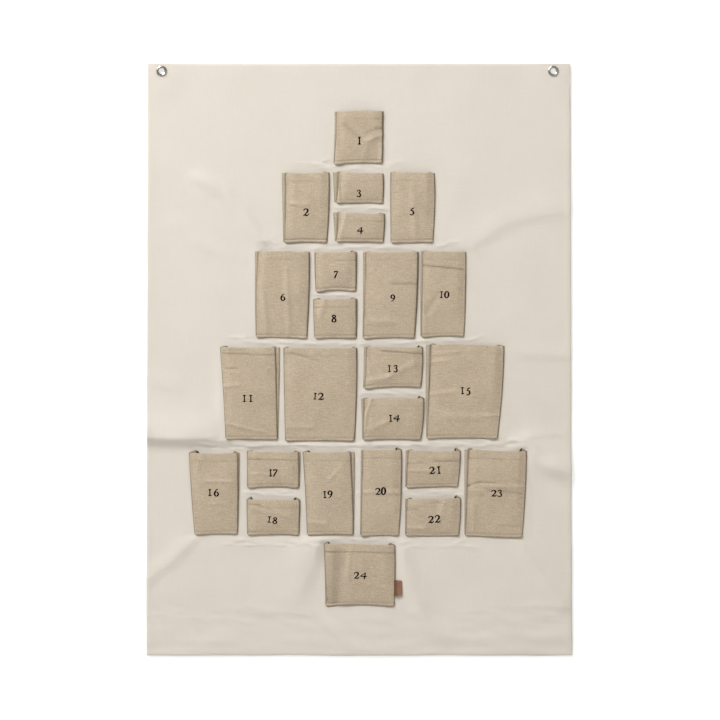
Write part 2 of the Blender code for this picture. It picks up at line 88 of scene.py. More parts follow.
def pointsOf(piece):
    points = np.empty(len(piece.data.vertices) * 3)
    piece.data.vertices.foreach_get("co", points)
    return points.reshape(-1, 3)


def placePoints(piece, points):
    piece.data.vertices.foreach_set("co", np.asarray(points, dtype=float).ravel())
    piece.data.update()


def applyAll(piece):
    pick(piece)
    for modifier in list(piece.modifiers):
        bpy.ops.object.modifier_apply(modifier=modifier.name)


def settle(piece):  # the piece's place goes into its mesh
    pick(piece)
    bpy.ops.object.transform_apply(location=True, rotation=True, scale=True)


def smooth(piece, angle=math.radians(50)):
    pick(piece)
    bpy.ops.object.shade_smooth_by_angle(angle=angle)


# A grid draped over points[row, column], with its flat place as UVs and its painted light and shade as an attribute
def addSheet(name, points, cloth, tone=None):
    rows, columns = points.shape[:2]
    deselectAll()
    bpy.ops.mesh.primitive_grid_add(x_subdivisions=columns - 1, y_subdivisions=rows - 1, size=1)
    sheet = chosen(name)
    flat = pointsOf(sheet)
    column = np.rint((flat[:, 0] + 0.5) * (columns - 1)).astype(int)
    row = np.rint((flat[:, 1] + 0.5) * (rows - 1)).astype(int)
    placePoints(sheet, points[row, column])
    uvMap = sheet.data.uv_layers[0]
    uvMap.name = "cloth"
    corners = np.empty(len(sheet.data.loops), dtype=int)
    sheet.data.loops.foreach_get("vertex_index", corners)
    uvMap.data.foreach_set("uv", cloth[row, column][corners].ravel())
    if tone is not None:
        # the tone is painted light above 0 and painted shade below 0
        paintedLightAndShade = sheet.data.attributes.new("paintedLightAndShade", "FLOAT", "POINT")
        paintedLightAndShade.data.foreach_set("value", tone[row, column].ravel())
    return sheet, row, column


def addWall(sheet, thickness, offset, thickVerts=(), share=1.0):
    wall = sheet.modifiers.new("wall", "SOLIDIFY")
    wall.thickness = thickness
    wall.offset = offset
    wall.use_quality_normals = True
    if len(thickVerts):
        group = sheet.vertex_groups.new(name="hem")
        group.add([int(index) for index in thickVerts], 1.0, "REPLACE")
        wall.vertex_group = "hem"
        wall.thickness_vertex_group = share
    applyAll(sheet)


def treeOf(piece):
    mesh = piece.data
    return BVHTree.FromPolygons([v.co.copy() for v in mesh.vertices],
                                [tuple(face.vertices) for face in mesh.polygons])


def touchFront(tree, x, z):  # where a needle from the front meets the cloth
    place, normal, _, _ = tree.ray_cast(Vector((x, -0.2, z)), Vector((0, 1, 0)))
    return place, normal


def ripple(x, z, seed, *bands):  # sum of (wavelength, height) bands of smooth noise
    return sum(height * noise.noise(Vector((x / wave, z / wave, seed + 7.3 * k)))
               for k, (wave, height) in enumerate(bands))


def ramp(value, low, high):  # 0 below low, 1 above high, smooth between
    t = min(max((value - low) / (high - low), 0.0), 1.0)
    return t * t * (3 - 2 * t)


class Flow:  # one output socket: sums and products of it add Math nodes
    def __init__(self, shader, socket):
        self.shader, self.socket = shader, socket

    def math(self, operation, *others):
        return self.shader.node("ShaderNodeMath", {"operation": operation}, [self, *others]).out(0)

    def __add__(self, other): return self.math("ADD", other)
    def __radd__(self, other): return self.math("ADD", other)
    def __sub__(self, other): return self.math("SUBTRACT", other)
    def __mul__(self, other): return self.math("MULTIPLY", other)
    def __rmul__(self, other): return self.math("MULTIPLY", other)
    def __truediv__(self, other): return self.math("DIVIDE", other)
    def __rsub__(self, other): return self.shader.node(
        "ShaderNodeMath", {"operation": "SUBTRACT"}, [other, self]).out(0)


class Made:  # a node that was just added
    def __init__(self, shader, node):
        self.shader, self.raw = shader, node

    def out(self, key):
        return Flow(self.shader, self.raw.outputs[key])


class Shader:  # a material, its Principled node, and one way to add any other node
    def __init__(self, name, **finish):
        self.material = bpy.data.materials.new(name)
        self.material.use_nodes = True
        self.tree = self.material.node_tree
        self.main = self.tree.nodes["Principled BSDF"]
        for key, value in finish.items():
            self.main.inputs[key.replace("_", " ")].default_value = value

    def node(self, kind, settings=None, values=()):
        raw = self.tree.nodes.new(kind)
        for key, value in (settings or {}).items():
            setattr(raw, key, value)
        pairs = values.items() if isinstance(values, dict) else enumerate(values)
        for key, value in pairs:
            self.plug(raw.inputs[key], value)
        return Made(self, raw)

    def plug(self, socket, value):
        if isinstance(value, Flow):
            self.tree.links.new(value.socket, socket)
        else:
            socket.default_value = value

    def feed(self, key, value):
        self.plug(self.main.inputs[key], value)

    def mix(self, share, a, b, blend="MIX"):  # colours a and b
        made = self.node("ShaderNodeMix", {"data_type": "RGBA", "blend_type": blend})
        self.plug(made.raw.inputs[0], share)
        self.plug(made.raw.inputs[6], a)
        self.plug(made.raw.inputs[7], b)
        return made.out(2)

    def vector(self, operation, a, b):
        return self.node("ShaderNodeVectorMath", {"operation": operation}, [a, b]).out(0)

    def noise(self, place, scale, detail=2.0, roughness=0.5, stretch=None):
        if stretch:
            place = self.vector("MULTIPLY", place, stretch)
        made = self.node("ShaderNodeTexNoise", {"noise_dimensions": "3D"},
                         {"Vector": place, "Scale": scale, "Detail": detail, "Roughness": roughness})
        return made.out(0)

    def step(self, value, low, high, a=0.0, b=1.0):
        made = self.node("ShaderNodeMapRange", {"interpolation_type": "SMOOTHSTEP"},
                         {"Value": value, "From Min": low, "From Max": high, "To Min": a, "To Max": b})
        return made.out(0)

    def bump(self, height, distance, strength=1.0):
        made = self.node("ShaderNodeBump", {}, {"Height": height, "Distance": distance,
                                                "Strength": strength})
        self.feed("Normal", made.out(0))


def weave(shader, cloth, pitch):  # a plain weave: its relief, and which set of threads is on top
    split = shader.node("ShaderNodeSeparateXYZ", {}, [cloth])
    across, along = split.out(0) / pitch, split.out(1) / pitch
    cell = across.math("FLOOR") + along.math("FLOOR")
    warpOver = cell.math("PINGPONG", 1.0)
    warp = (across.math("FRACT") * math.pi).math("SINE")
    weft = (along.math("FRACT") * math.pi).math("SINE")
    both = warp * weft
    relief = both * 0.5 + warp * warpOver * 0.5 + weft * (1 - warpOver) * 0.5
    return relief, warpOver, across, along


def threadTone(shader, along, across, length, seed):  # colour of each thread, slowly changing along it
    place = shader.node("ShaderNodeCombineXYZ", {}, [along * length, across.math("FLOOR") * 7.31, seed])
    return shader.noise(place.out(0), 1.0, 1.0)


def clothPlace(shader, wobble):  # flat cloth coordinates in metres, threads not quite straight
    place = shader.node("ShaderNodeUVMap", {"uv_map": "cloth"}).out(0)
    drift = shader.node("ShaderNodeTexNoise", {"noise_dimensions": "3D"},
                        {"Vector": place, "Scale": 90.0, "Detail": 1.0}).out(1)
    drift = shader.vector("SUBTRACT", drift, (0.5, 0.5, 0.5))
    return place, shader.vector("ADD", place, shader.vector("MULTIPLY", drift, (wobble, wobble, 0)))


canvasLook = {
    "light": (0.800, 0.755, 0.688, 1), "dark": (0.735, 0.680, 0.605, 1), "speck": (0.50, 0.43, 0.34, 1),
    "pitch": 0.00085, "relief": 0.00022,
}


def canvasCloth():
    shader = Shader("canvas_cotton", Roughness=0.93, Specular_IOR_Level=0.25)
    shader.feed("Sheen Weight", 0.15)
    flat, place = clothPlace(shader, 0.0009)
    relief, warpOver, across, along = weave(shader, place, canvasLook["pitch"])
    warpTone = threadTone(shader, along, across, 0.035, 3.0)
    weftTone = threadTone(shader, across, along, 0.035, 9.0)
    tone = warpTone * warpOver + weftTone * (1 - warpOver)
    cloud = shader.noise(flat, 9.0, 2.0)
    grain = shader.noise(flat, 700.0, 2.0)
    shade = shader.step(tone * 0.42 + cloud * 0.22 + grain * 0.36, 0.20, 0.80)
    colour = shader.mix(shade, canvasLook["dark"], canvasLook["light"])
    fleck = shader.noise(flat, 1.0, 1.0, 0.5, (210.0, 420.0, 1.0))
    colour = shader.mix(shader.step(fleck, 0.79, 0.86) * 0.55, colour, canvasLook["speck"])
    shader.feed("Base Color", colour)
    slub = shader.step(shader.noise(flat, 1.0, 1.0, 0.5, (90.0, 900.0, 1.0)), 0.62, 0.80)
    shader.bump(relief + slub * 0.8, canvasLook["relief"])
    return shader.material


linenLook = {
    "light": (0.684, 0.567, 0.425), "middle": (0.574, 0.472, 0.349),
    "dark": (0.462, 0.374, 0.271), "speck": (0.13, 0.09, 0.06), "pale": (0.84, 0.74, 0.60),
    # the colour that painted shade on the linen darkens toward
    "paintedShadeColour": (0.055, 0.040, 0.027),
    "pitch": 0.00075, "relief": 0.00030,
    # Streaks of the yarn: how often they come across and along the cloth, and their shift
    "streak": (75.0, 560.0, 1.0), "upright": (430.0, 110.0, 1.0), "dash": (110.0, 760.0, 7.0),
    "slub": (95.0, 640.0, 5.0), "fleck": (230.0, 520.0, 3.0),
    "parts": {"tone": 0.15, "streak": 0.24, "upright": 0.13, "cloud": 0.08, "grain": 0.40},
}


def tinted(colour, share):
    return tuple(part * share for part in colour) + (1.0,)


def linenCloth(name, share):
    look = {key: tinted(linenLook[key], share)
            for key in ("light", "middle", "dark", "speck", "pale", "paintedShadeColour")}
    shader = Shader(name, Roughness=0.88, Specular_IOR_Level=0.3)
    shader.feed("Sheen Weight", 0.1)
    flat, place = clothPlace(shader, 0.0010)
    relief, warpOver, across, along = weave(shader, place, linenLook["pitch"])
    warpTone = threadTone(shader, along, across, 0.10, 4.0)
    weftTone = threadTone(shader, across, along, 0.08, 8.0)
    tone = warpTone * warpOver + weftTone * (1 - warpOver)
    streak = shader.noise(flat, 1.0, 2.0, 0.6, linenLook["streak"])
    upright = shader.noise(flat, 1.0, 2.0, 0.6, linenLook["upright"])
    grain = shader.noise(flat, 560.0, 2.0, 0.5)
    cloud = shader.noise(flat, 30.0, 1.0)
    parts = linenLook["parts"]
    mixed = tone * parts["tone"] + streak * parts["streak"] + upright * parts["upright"]
    mixed = mixed + cloud * parts["cloud"] + grain * parts["grain"]
    colour = shader.mix(shader.step(mixed, 0.395, 0.49), look["dark"], look["middle"])
    colour = shader.mix(shader.step(mixed, 0.485, 0.59), colour, look["light"])
    dash = shader.noise(flat, 1.0, 1.0, 0.5, linenLook["dash"])
    colour = shader.mix(shader.step(dash, 0.68, 0.76) * 0.50, colour, look["dark"])
    paleSlub = shader.noise(flat, 1.0, 1.0, 0.5, linenLook["slub"])
    colour = shader.mix(shader.step(paleSlub, 0.66, 0.78) * 0.60, colour, look["pale"])
    speck = shader.noise(flat, 1.0, 1.0, 0.5, linenLook["fleck"])
    colour = shader.mix(shader.step(speck, 0.735, 0.80) * 0.8, colour, look["speck"])
    # painted light and shade: a highlight toward pale where the attribute is over 0, shade toward the painted shade
    # colour under 0
    paintedLightAndShade = shader.node("ShaderNodeAttribute", {"attribute_name": "paintedLightAndShade"}).out("Fac")
    colour = shader.mix(paintedLightAndShade.math("MAXIMUM", 0.0), colour, look["pale"])
    colour = shader.mix((paintedLightAndShade * -1).math("MAXIMUM", 0.0).math("MINIMUM", 1.0), colour, look["paintedShadeColour"])
    shader.feed("Base Color", colour)
    shader.bump(relief + shader.step(paleSlub, 0.60, 0.80) * 0.7 + grain * 0.3, linenLook["relief"])
    return shader.material


def sewingThread(name, colour, darker):
    shader = Shader(name, Roughness=0.62)
    place = shader.node("ShaderNodeTexCoord").out("Object")
    tone = shader.noise(place, 900.0, 2.0)
    shader.feed("Base Color", shader.mix(tone, darker, colour))
    twist = shader.node("ShaderNodeTexWave", {"wave_type": "BANDS", "bands_direction": "DIAGONAL"},
                        {"Vector": place, "Scale": 900.0, "Distortion": 1.0})
    shader.bump(twist.out(1), 0.00006)
    return shader.material


numberLook = {"dark": (0.004, 0.003, 0.002, 1), "light": (0.018, 0.012, 0.008, 1), "strand": 0.00042}


def numberThread():
    shader = Shader("number_thread", Roughness=0.85, Specular_IOR_Level=0.06)
    place = shader.node("ShaderNodeUVMap", {"uv_map": "cloth"}).out(0)
    tone = shader.noise(place, 1.0, 2.0, 0.5, (2600.0, 260.0, 1.0))
    shader.feed("Base Color", shader.mix(tone, numberLook["dark"], numberLook["light"]))
    split = shader.node("ShaderNodeSeparateXYZ", {}, [place])
    strand = (split.out(0) * (2 * math.pi / numberLook["strand"])).math("SINE")
    shader.bump(strand, 0.00006)
    return shader.material


nickelLook = {"bright": (0.60, 0.585, 0.56, 1), "dull": (0.42, 0.40, 0.37, 1)}


def nickel():
    shader = Shader("polished_nickel", Metallic=1.0, Roughness=0.2)
    place = shader.node("ShaderNodeTexCoord").out("Object")
    tarnish = shader.noise(place, 260.0, 4.0, 0.6)
    colour = shader.mix(shader.step(tarnish, 0.35, 0.75), nickelLook["bright"], nickelLook["dull"])
    shader.feed("Base Color", colour)
    shader.feed("Roughness", shader.step(tarnish, 0.3, 0.8, 0.14, 0.34))
    scratch = shader.noise(place, 1.0, 2.0, 0.5, (900.0, 900.0, 4200.0))
    shader.bump(scratch, 0.00002)
    return shader.material


leatherLook = {
    "light": (0.405, 0.215, 0.130, 1), "middle": (0.285, 0.130, 0.072, 1), "pore": (0.16, 0.066, 0.036, 1),
    "shade": (0.150, 0.080, 0.046, 1), "shadeEnd": (0.0655, 0.0690),  # x over which the dark side ends
}


def leather():
    shader = Shader("brown_leather", Roughness=0.6)
    place = shader.node("ShaderNodeTexCoord").out("Object")
    cells = shader.node("ShaderNodeTexVoronoi", {"feature": "DISTANCE_TO_EDGE"},
                        {"Vector": place, "Scale": 1400.0}).out(0)
    cloud = shader.noise(place, 180.0, 4.0, 0.6)
    colour = shader.mix(shader.step(cloud, 0.3, 0.7), leatherLook["middle"], leatherLook["light"])
    pore = shader.step(cells, 0.0, 0.10)
    across = shader.node("ShaderNodeSeparateXYZ", {}, {"Vector": place}).out(0)
    colour = shader.mix(shader.step(across, *leatherLook["shadeEnd"]), leatherLook["shade"], colour)
    shader.feed("Base Color", shader.mix(pore, leatherLook["pore"], colour))
    shader.feed("Roughness", shader.step(cloud, 0.2, 0.8, 0.48, 0.70))
    shader.bump(pore + cloud * 0.8, 0.00012)
    return shader.material


finishes = {
    "canvas": canvasCloth(), "linen": linenCloth("natural_linen", 1.0),
    # the gussets get natural linen painted 0.86 as dark, for the shade they lie in
    "shadedLinen": linenCloth("shaded_linen", 0.86), "nickel": nickel(), "leather": leather(),
    "canvasThread": sewingThread("canvas_thread", (0.80, 0.755, 0.685, 1), (0.70, 0.65, 0.57, 1)),
    "linenThread": sewingThread("linen_thread", (0.61, 0.505, 0.375, 1), (0.45, 0.365, 0.265, 1)),
    "number": numberThread(),
}


def dress(piece, finish):
    piece.data.materials.clear()
    piece.data.materials.append(finishes[finish])


print("materials made")


studio = {
    "middle": (0.0014, -0.5124),     # x and z that the camera looks at
    "distance": 8.0, "seen": 1.278,  # metres across the picture
    "wallGap": 0.0030, "floor": -2.6, "backdrop": 0.50, "floorGlow": 0.06,
    "keyPlace": (-2.2, -3.0, 2.6), "keySize": 2.6, "keyPower": 240.0,
    "fillPlace": (2.4, -3.6, -0.6), "fillSize": 3.0, "fillPower": 18.0, "world": 0.292,
    "fillColour": (1.0, 0.84, 0.64), "keyColour": (1.0, 1.0, 0.99), "sky": (1.0, 0.99, 0.975, 1),
    "aim": (0, 0, -0.52), "wallColour": (0.86, 0.86, 0.86, 1), "floorColour": (0.84, 0.83, 0.81, 1),
}


def whiteForCamera(name, colour, glow, fromBehind):
    shader = Shader(name, Roughness=0.9)
    shader.main.inputs["Base Color"].default_value = colour
    shader.main.inputs["Specular IOR Level"].default_value = 0.0
    path = shader.node("ShaderNodeLightPath")
    seen = path.out("Is Camera Ray").math("MAXIMUM", path.out("Is Glossy Ray"))
    seen = seen.math("MAXIMUM", path.out("Is Transmission Ray"))
    light = shader.node("ShaderNodeEmission", {}, {"Color": (1, 1, 1, 1), "Strength": seen * glow})
    both = shader.node("ShaderNodeAddShader", {}, [])
    shader.tree.links.new(shader.main.outputs[0], both.raw.inputs[0])
    shader.tree.links.new(light.raw.outputs[0], both.raw.inputs[1])
    last = both
    if fromBehind:  # the wall is open from the back, so that the back of the canvas can be seen
        side = shader.node("ShaderNodeNewGeometry").out("Backfacing")
        clear = shader.node("ShaderNodeBsdfTransparent")
        last = shader.node("ShaderNodeMixShader", {}, {0: side})
        shader.tree.links.new(both.raw.outputs[0], last.raw.inputs[1])
        shader.tree.links.new(clear.raw.outputs[0], last.raw.inputs[2])
    out = shader.tree.nodes["Material Output"]
    shader.tree.links.new(last.raw.outputs[0], out.inputs["Surface"])
    return shader.material


def makeStudio():
    scene = bpy.context.scene
    scene.view_settings.view_transform = "Standard"
    x, z = studio["middle"]
    deselectAll()
    bpy.ops.object.camera_add(location=(x, -studio["distance"], z), rotation=(math.pi / 2, 0, 0))
    camera = chosen("camera")
    camera.data.sensor_width = 36.0
    camera.data.lens = 36.0 * studio["distance"] / studio["seen"]
    camera.data.clip_end = 60.0
    scene.camera = camera

    deselectAll()
    bpy.ops.mesh.primitive_plane_add(size=1, location=(0, studio["wallGap"], 0),
                                     rotation=(math.pi / 2, 0, 0))
    wall = chosen("wall")
    wall.scale = (9.0, 9.0, 1.0)
    # Light passes the wall from behind, for views of the back of the canvas
    wall.visible_shadow = wall.visible_diffuse = False
    paint = whiteForCamera("wall_white", studio["wallColour"], studio["backdrop"], True)
    wall.data.materials.append(paint)
    deselectAll()
    bpy.ops.mesh.primitive_plane_add(size=9, location=(0, -4.5, studio["floor"]))
    floor = chosen("floor")
    paint = whiteForCamera("floor_pale", studio["floorColour"], studio["floorGlow"], False)
    floor.data.materials.append(paint)

    for name in ("key", "fill"):
        place = Vector(studio[name + "Place"])
        aim = (Vector(studio["aim"]) - place).to_track_quat("-Z", "Y").to_euler()
        deselectAll()
        bpy.ops.object.light_add(type="AREA", location=place, rotation=aim)
        lamp = chosen(name + "_light")
        lamp.data.shape = "SQUARE"
        lamp.data.size = studio[name + "Size"]
        lamp.data.energy = studio[name + "Power"]
        lamp.data.color = studio[name + "Colour"]
    world = bpy.data.worlds.new("studio")
    scene.world = world
    world.use_nodes = True
    tree = world.node_tree
    sky = tree.nodes["Background"]
    sky.inputs["Color"].default_value = studio["sky"]
    sky.inputs["Strength"].default_value = studio["world"]


makeStudio()
print("studio made")


# Each front in millimetres from the middle of the eyelet line, measured in the photograph: the left and
# the right edge at the mouth, half way and at the bottom, then the mouth and the bottom from left to right
pocketLines = {
    1: ((-40.1, -40.8, -44.2), (41.2, 40.8, 40.1), (-72.2, -70.1, -71.5), (-167.9, -165.6, -165.8)),
    2: ((-129.9, -130.1, -132.6), (-54.0, -54.3, -57.9), (-181.2, -181.2, -180.0), (-307.1, -306.0, -306.9)),
    3: ((-35.5, -36.9, -40.8), (41.5, 42.4, 41.5), (-179.8, -180.9, -181.9), (-236.3, -236.4, -236.6)),
    4: ((-36.2, -37.6, -41.2), (44.0, 44.0, 42.2), (-251.0, -252.0, -252.9), (-305.5, -305.8, -306.7)),
    5: ((56.6, 56.6, 57.0), (132.4, 133.1, 130.1), (-179.6, -180.0, -181.1), (-307.6, -306.9, -306.4)),
    6: ((-178.6, -181.6, -182.1), (-89.1, -89.8, -93.4), (-320.0, -319.3, -321.1), (-475.2, -475.5, -476.4)),
    7: ((-76.7, -76.9, -76.0), (-6.4, -5.7, -6.2), (-321.6, -321.6, -321.1), (-394.2, -391.6, -393.2)),
    8: ((-80.2, -79.5, -78.1), (-5.7, -5.5, -5.5), (-404.9, -404.3, -404.0), (-476.9, -476.4, -476.1)),
    9: ((12.2, 10.3, 7.6), (103.5, 101.9, 97.8), (-321.1, -321.1, -320.7), (-477.3, -475.7, -475.5)),
    10: ((112.9, 111.8, 110.6), (188.1, 187.8, 185.3), (-319.7, -320.4, -320.7), (-474.6, -472.9, -472.7)),
    11: ((-246.0, -240.0, -236.3), (-149.1, -147.0, -144.8), (-490.1, -490.8, -490.1), (-655.7, -656.0, -656.0)),
    12: ((-133.1, -131.9, -130.3), (-5.1, -5.5, -8.9), (-491.1, -491.3, -491.1), (-658.7, -658.3, -658.5)),
    13: ((13.8, 12.6, 9.2), (111.8, 111.6, 109.2), (-488.8, -489.7, -489.9), (-565.7, -562.9, -563.2)),
    14: ((9.2, 8.2, 7.3), (114.3, 113.2, 108.6), (-581.0, -579.5, -580.4), (-656.8, -656.0, -656.4)),
    15: ((127.4, 124.6, 120.3), (256.5, 252.6, 244.4), (-485.5, -484.8, -487.6), (-654.3, -653.4, -654.3)),
    16: ((-301.0, -296.8, -291.1), (-216.0, -215.5, -216.2), (-677.5, -678.6, -677.2), (-825.0, -823.8, -823.6)),
    17: ((-197.4, -197.6, -197.4), (-107.9, -107.2, -107.2), (-673.3, -675.0, -675.6), (-741.8, -740.2, -741.4)),
    18: ((-198.3, -197.9, -197.6), (-106.1, -106.5, -107.2), (-759.7, -760.8, -760.6), (-825.4, -824.7, -825.0)),
    19: ((-99.4, -94.6, -91.8), (-16.0, -12.2, -10.6), (-676.1, -676.3, -676.1), (-825.4, -824.7, -824.8)),
    20: ((6.7, 5.1, 3.2), (74.5, 73.7, 69.6), (-672.0, -672.0, -672.0), (-827.1, -826.6, -826.3)),
    21: ((87.5, 85.2, 83.4), (178.9, 177.5, 173.9), (-672.9, -674.3, -673.8), (-741.8, -740.9, -739.6)),
    22: ((84.5, 84.0, 82.9), (179.6, 178.6, 175.7), (-759.5, -758.1, -757.6), (-826.6, -827.7, -826.8)),
    23: ((194.4, 191.3, 188.0), (296.1, 293.6, 287.9), (-671.8, -673.8, -674.5), (-826.6, -828.7, -829.8)),
    24: ((-61.6, -59.5, -58.8), (62.5, 62.8, 61.6), (-838.0, -838.7, -840.8), (-951.2, -949.3, -951.6)),
}
# How far the pleats show beside the front, left and right, at the mouth, half way and at the bottom; how
# high they stand above the mouth (share) and how far they reach inwards, left and right
pleatLooks = {
    1: ((3.2, 2.8, 1.4), (1.8, 2.1, 1.6), (0.1, 11.5), (0.2, 11.5)),
    2: ((7.3, 5.9, 2.0), (1.2, 1.2, 1.1), (0.2, 11.5), (0.3, 11.5)),
    3: ((11.0, 8.2, 3.2), (1.8, 1.6, 1.2), (0.3, 11.5), (0.2, 11.5)),
    4: ((9.8, 6.7, 1.8), (1.8, 1.4, 1.1), (0.2, 11.5), (0.3, 11.5)),
    5: ((1.4, 1.4, 1.1), (1.6, 1.4, 1.1), (0.2, 11.5), (0.3, 11.5)),
    6: ((6.0, 3.0, 1.2), (1.8, 1.6, 1.4), (0.2, 11.5), (0.2, 11.5)),
    7: ((2.8, 2.1, 1.2), (2.8, 1.8, 1.2), (0.1, 11.5), (0.5, 11.5)),
    8: ((1.4, 1.4, 1.2), (2.3, 2.0, 1.4), (0.4, 13.5), (0.4, 11.5)),
    9: ((5.3, 3.5, 1.6), (2.1, 1.8, 1.2), (0.2, 11.5), (0.2, 11.5)),
    10: ((3.2, 3.0, 1.6), (1.6, 1.4, 1.1), (0.2, 11.5), (0.1, 11.5)),
    11: ((1.1, 1.1, 0.9), (8.2, 4.8, 1.1), (0.5, 14.5), (0.3, 11.5)),
    12: ((1.4, 1.2, 1.2), (1.4, 1.4, 1.2), (0.35, 10), (0.35, 9)),
    13: ((5.5, 4.4, 2.0), (1.4, 1.2, 1.1), (0.2, 11.5), (0.6, 10)),
    14: ((5.7, 3.4, 1.6), (1.4, 1.2, 1.1), (0.3, 11.5), (0.8, 12)),
    15: ((8.3, 6.4, 0.9), (1.2, 1.2, 1.1), (0.4, 14), (0.4, 14.5)),
    16: ((1.1, 1.1, 0.9), (3.7, 2.0, 1.2), (0.9, 18), (0.5, 9.5)),
    17: ((1.6, 1.4, 1.2), (3.5, 2.3, 1.4), (0.2, 11.5), (0.4, 10)),
    18: ((1.6, 1.4, 1.2), (1.6, 1.6, 1.2), (0.9, 10.5), (0.8, 11)),
    19: ((1.1, 1.1, 0.9), (7.6, 3.5, 1.2), (0.6, 13.5), (0.3, 11.5)),
    20: ((3.5, 2.5, 1.4), (1.4, 1.2, 1.1), (0.1, 11.5), (0.8, 12)),
    21: ((5.0, 3.2, 1.4), (1.2, 1.2, 1.1), (0.3, 12), (1, 11.5)),
    22: ((3.5, 2.3, 1.4), (1.2, 1.2, 1.1), (0.5, 12), (0.9, 12)),
    23: ((7.3, 4.3, 0.9), (1.4, 1.2, 1.1), (0.5, 11.5), (1, 13.5)),
    24: ((1.6, 1.4, 1.2), (1.6, 1.4, 1.2), (0.6, 11), (0.6, 12)),
}


# How strongly the hem of the mouth shows at the left and the right end, how light the ridge over the bottom edge is
# at the left, in the middle and at the right, and how far both bottom corners hang (share). The hem and ridge values
# set both their relief and their painted shade and highlight.
hemRidgeHangAndPaintedLight = {
    1: (.1, .1, .5, .6, .9, .5, .0), 2: (.15, .15, .9, .9, .9, .1, .0), 3: (.1, .1, .3, .3, .3, .5, .6),
    4: (.1, .2, .8, .5, .9, .2, .0), 5: (.3, .1, .4, .4, .8, .2, .0), 6: (.05, .05, .5, .2, .3, .0, .9),
    7: (.0, .5, .3, .8, .9, .4, .0), 8: (.6, .2, .5, .3, .6, .3, .1), 9: (.05, .1, .6, .1, .3, .8, .2),
    10: (.1, .1, .4, .0, .2, .7, .2), 11: (.05, .05, .4, .2, .4, .3, .2), 12: (.1, .1, .3, .1, .4, .4, .3),
    13: (.05, .1, .5, .1, .1, .9, .3), 14: (.05, .1, .5, .0, .1, .8, .4), 15: (.1, .1, .5, .0, .1, .7, .5),
    16: (.05, .1, .2, .1, .3, .1, .0), 17: (.7, .4, .1, .1, .1, .6, .7), 18: (.1, .1, .6, .0, .1, .7, .6),
    19: (.1, .15, .5, .1, .1, .3, .0), 20: (.4, .4, .3, .0, .2, .8, .4), 21: (.1, .1, .3, .3, .2, .2, .0),
    22: (.1, .1, .1, .1, .1, .6, .3), 23: (.7, .2, .2, .1, .3, .4, .2), 24: (.8, .6, .4, .0, .2, .6, .5),
}


def bend(values, t):  # a smooth line through the values at 0, half and 1
    a, b, c = values
    return a * (1 - t) * (1 - 2 * t) + b * 4 * t * (1 - t) + c * t * (2 * t - 1)


pocketShape = {
    "cell": 0.0022, "thickness": 0.0004, "layerStep": 0.00045, "foldedDepth": 0.0028, "mouthDepth": 0.0082,
    "mouthHem": 0.0140, "turnedUnder": 0.0060, "roll": (0.80, 0.40), "footRise": 0.0021, "sag": 0.0012,
    "belly": 0.0015, "pleat": 0.0115, "floorPleat": 0.0080, "seamFlange": 0.0050, "tabRise": 0.0062,
    "drawIn": 0.0009, "foldShade": 1.7, "frontFlange": 0.0034, "betweenSeams": 0.0042, "legCell": 0.0034,
}
# How dark the left and the right edge of each front are, from 0 for one that lies on its gusset to 1: it rolls the
# edge toward the canvas and sets the painted shade along it
edgeShades = {
    1: (.3, .7), 2: (.5, .7), 3: (.3, .7), 4: (.4, .6), 5: (.5, .2), 6: (.4, .8), 7: (.1, .9), 8: (.2, .9),
    9: (.7, 1.), 10: (1., .0), 11: (.2, 1.), 12: (.5, .6), 13: (.7, .5), 14: (.8, .6), 15: (.9, .0),
    16: (.3, 1.), 17: (.3, 1.), 18: (.4, .6), 19: (.5, 1.), 20: (.6, .4), 21: (1., .2), 22: (1., .3),
    23: (1., .0), 24: (.5, .3),
}


def outlineOf(number):
    sides, shows = pocketLines[number], pleatLooks[number]
    left, right, mouth, foot = [[value / 1000 for value in line] for line in sides]
    foot = [value + pocketShape["footRise"] for value in foot]
    showLeft, showRight = [[value / 1000 for value in line] for line in shows[:2]]
    top, bottom = mouth[1], foot[1]
    return {
        "number": number, "top": top, "bottom": bottom, "height": top - bottom, "width": right[0] - left[0],
        "edges": (left[::-1], right[::-1]), "shows": (showLeft[::-1], showRight[::-1]),
        "mouth": [value - top for value in mouth], "foot": [value - bottom for value in foot],
        "tabs": [(rise, reach / 1000) for rise, reach in shows[2:]],
        "low": (left[2] - showLeft[2], right[2] + showRight[2]),
        "high": (left[0] - showLeft[0], right[0] + showRight[0]),
    }


def levelShift(outline, across, share):  # how far the mouth and the bottom leave their level
    t = min(max((across - 0.1) / 0.8, 0.0), 1.0)
    return bend(outline["mouth"], t) * share ** 2 + bend(outline["foot"], t) * (1 - share) ** 3


outlines = {number: outlineOf(number) for number in pocketNumbers}

canvasShape = {
    "cell": 0.0046, "fineCell": 0.0021, "highCell": 0.0058, "thickness": 0.0008, "hemLayers": 3,
    "topHem": 0.025, "bottomHem": 0.010, "sideHem": 0.008, "seamInside": 0.0015, "seamSteps": 220,
    "eyeletRise": 0.0018, "eyeletHole": 0.0059, "wave": 0.0009, "flat": (0.785, 1.120),
    "fineRows": ((-0.983, -0.947), (-0.846, -0.823), (-0.761, -0.736), (-0.683, -0.647), (-0.583, -0.559),
                 (-0.495, -0.470), (-0.406, -0.388), (-0.324, -0.300), (-0.253, -0.234), (-0.182, -0.158)),
}
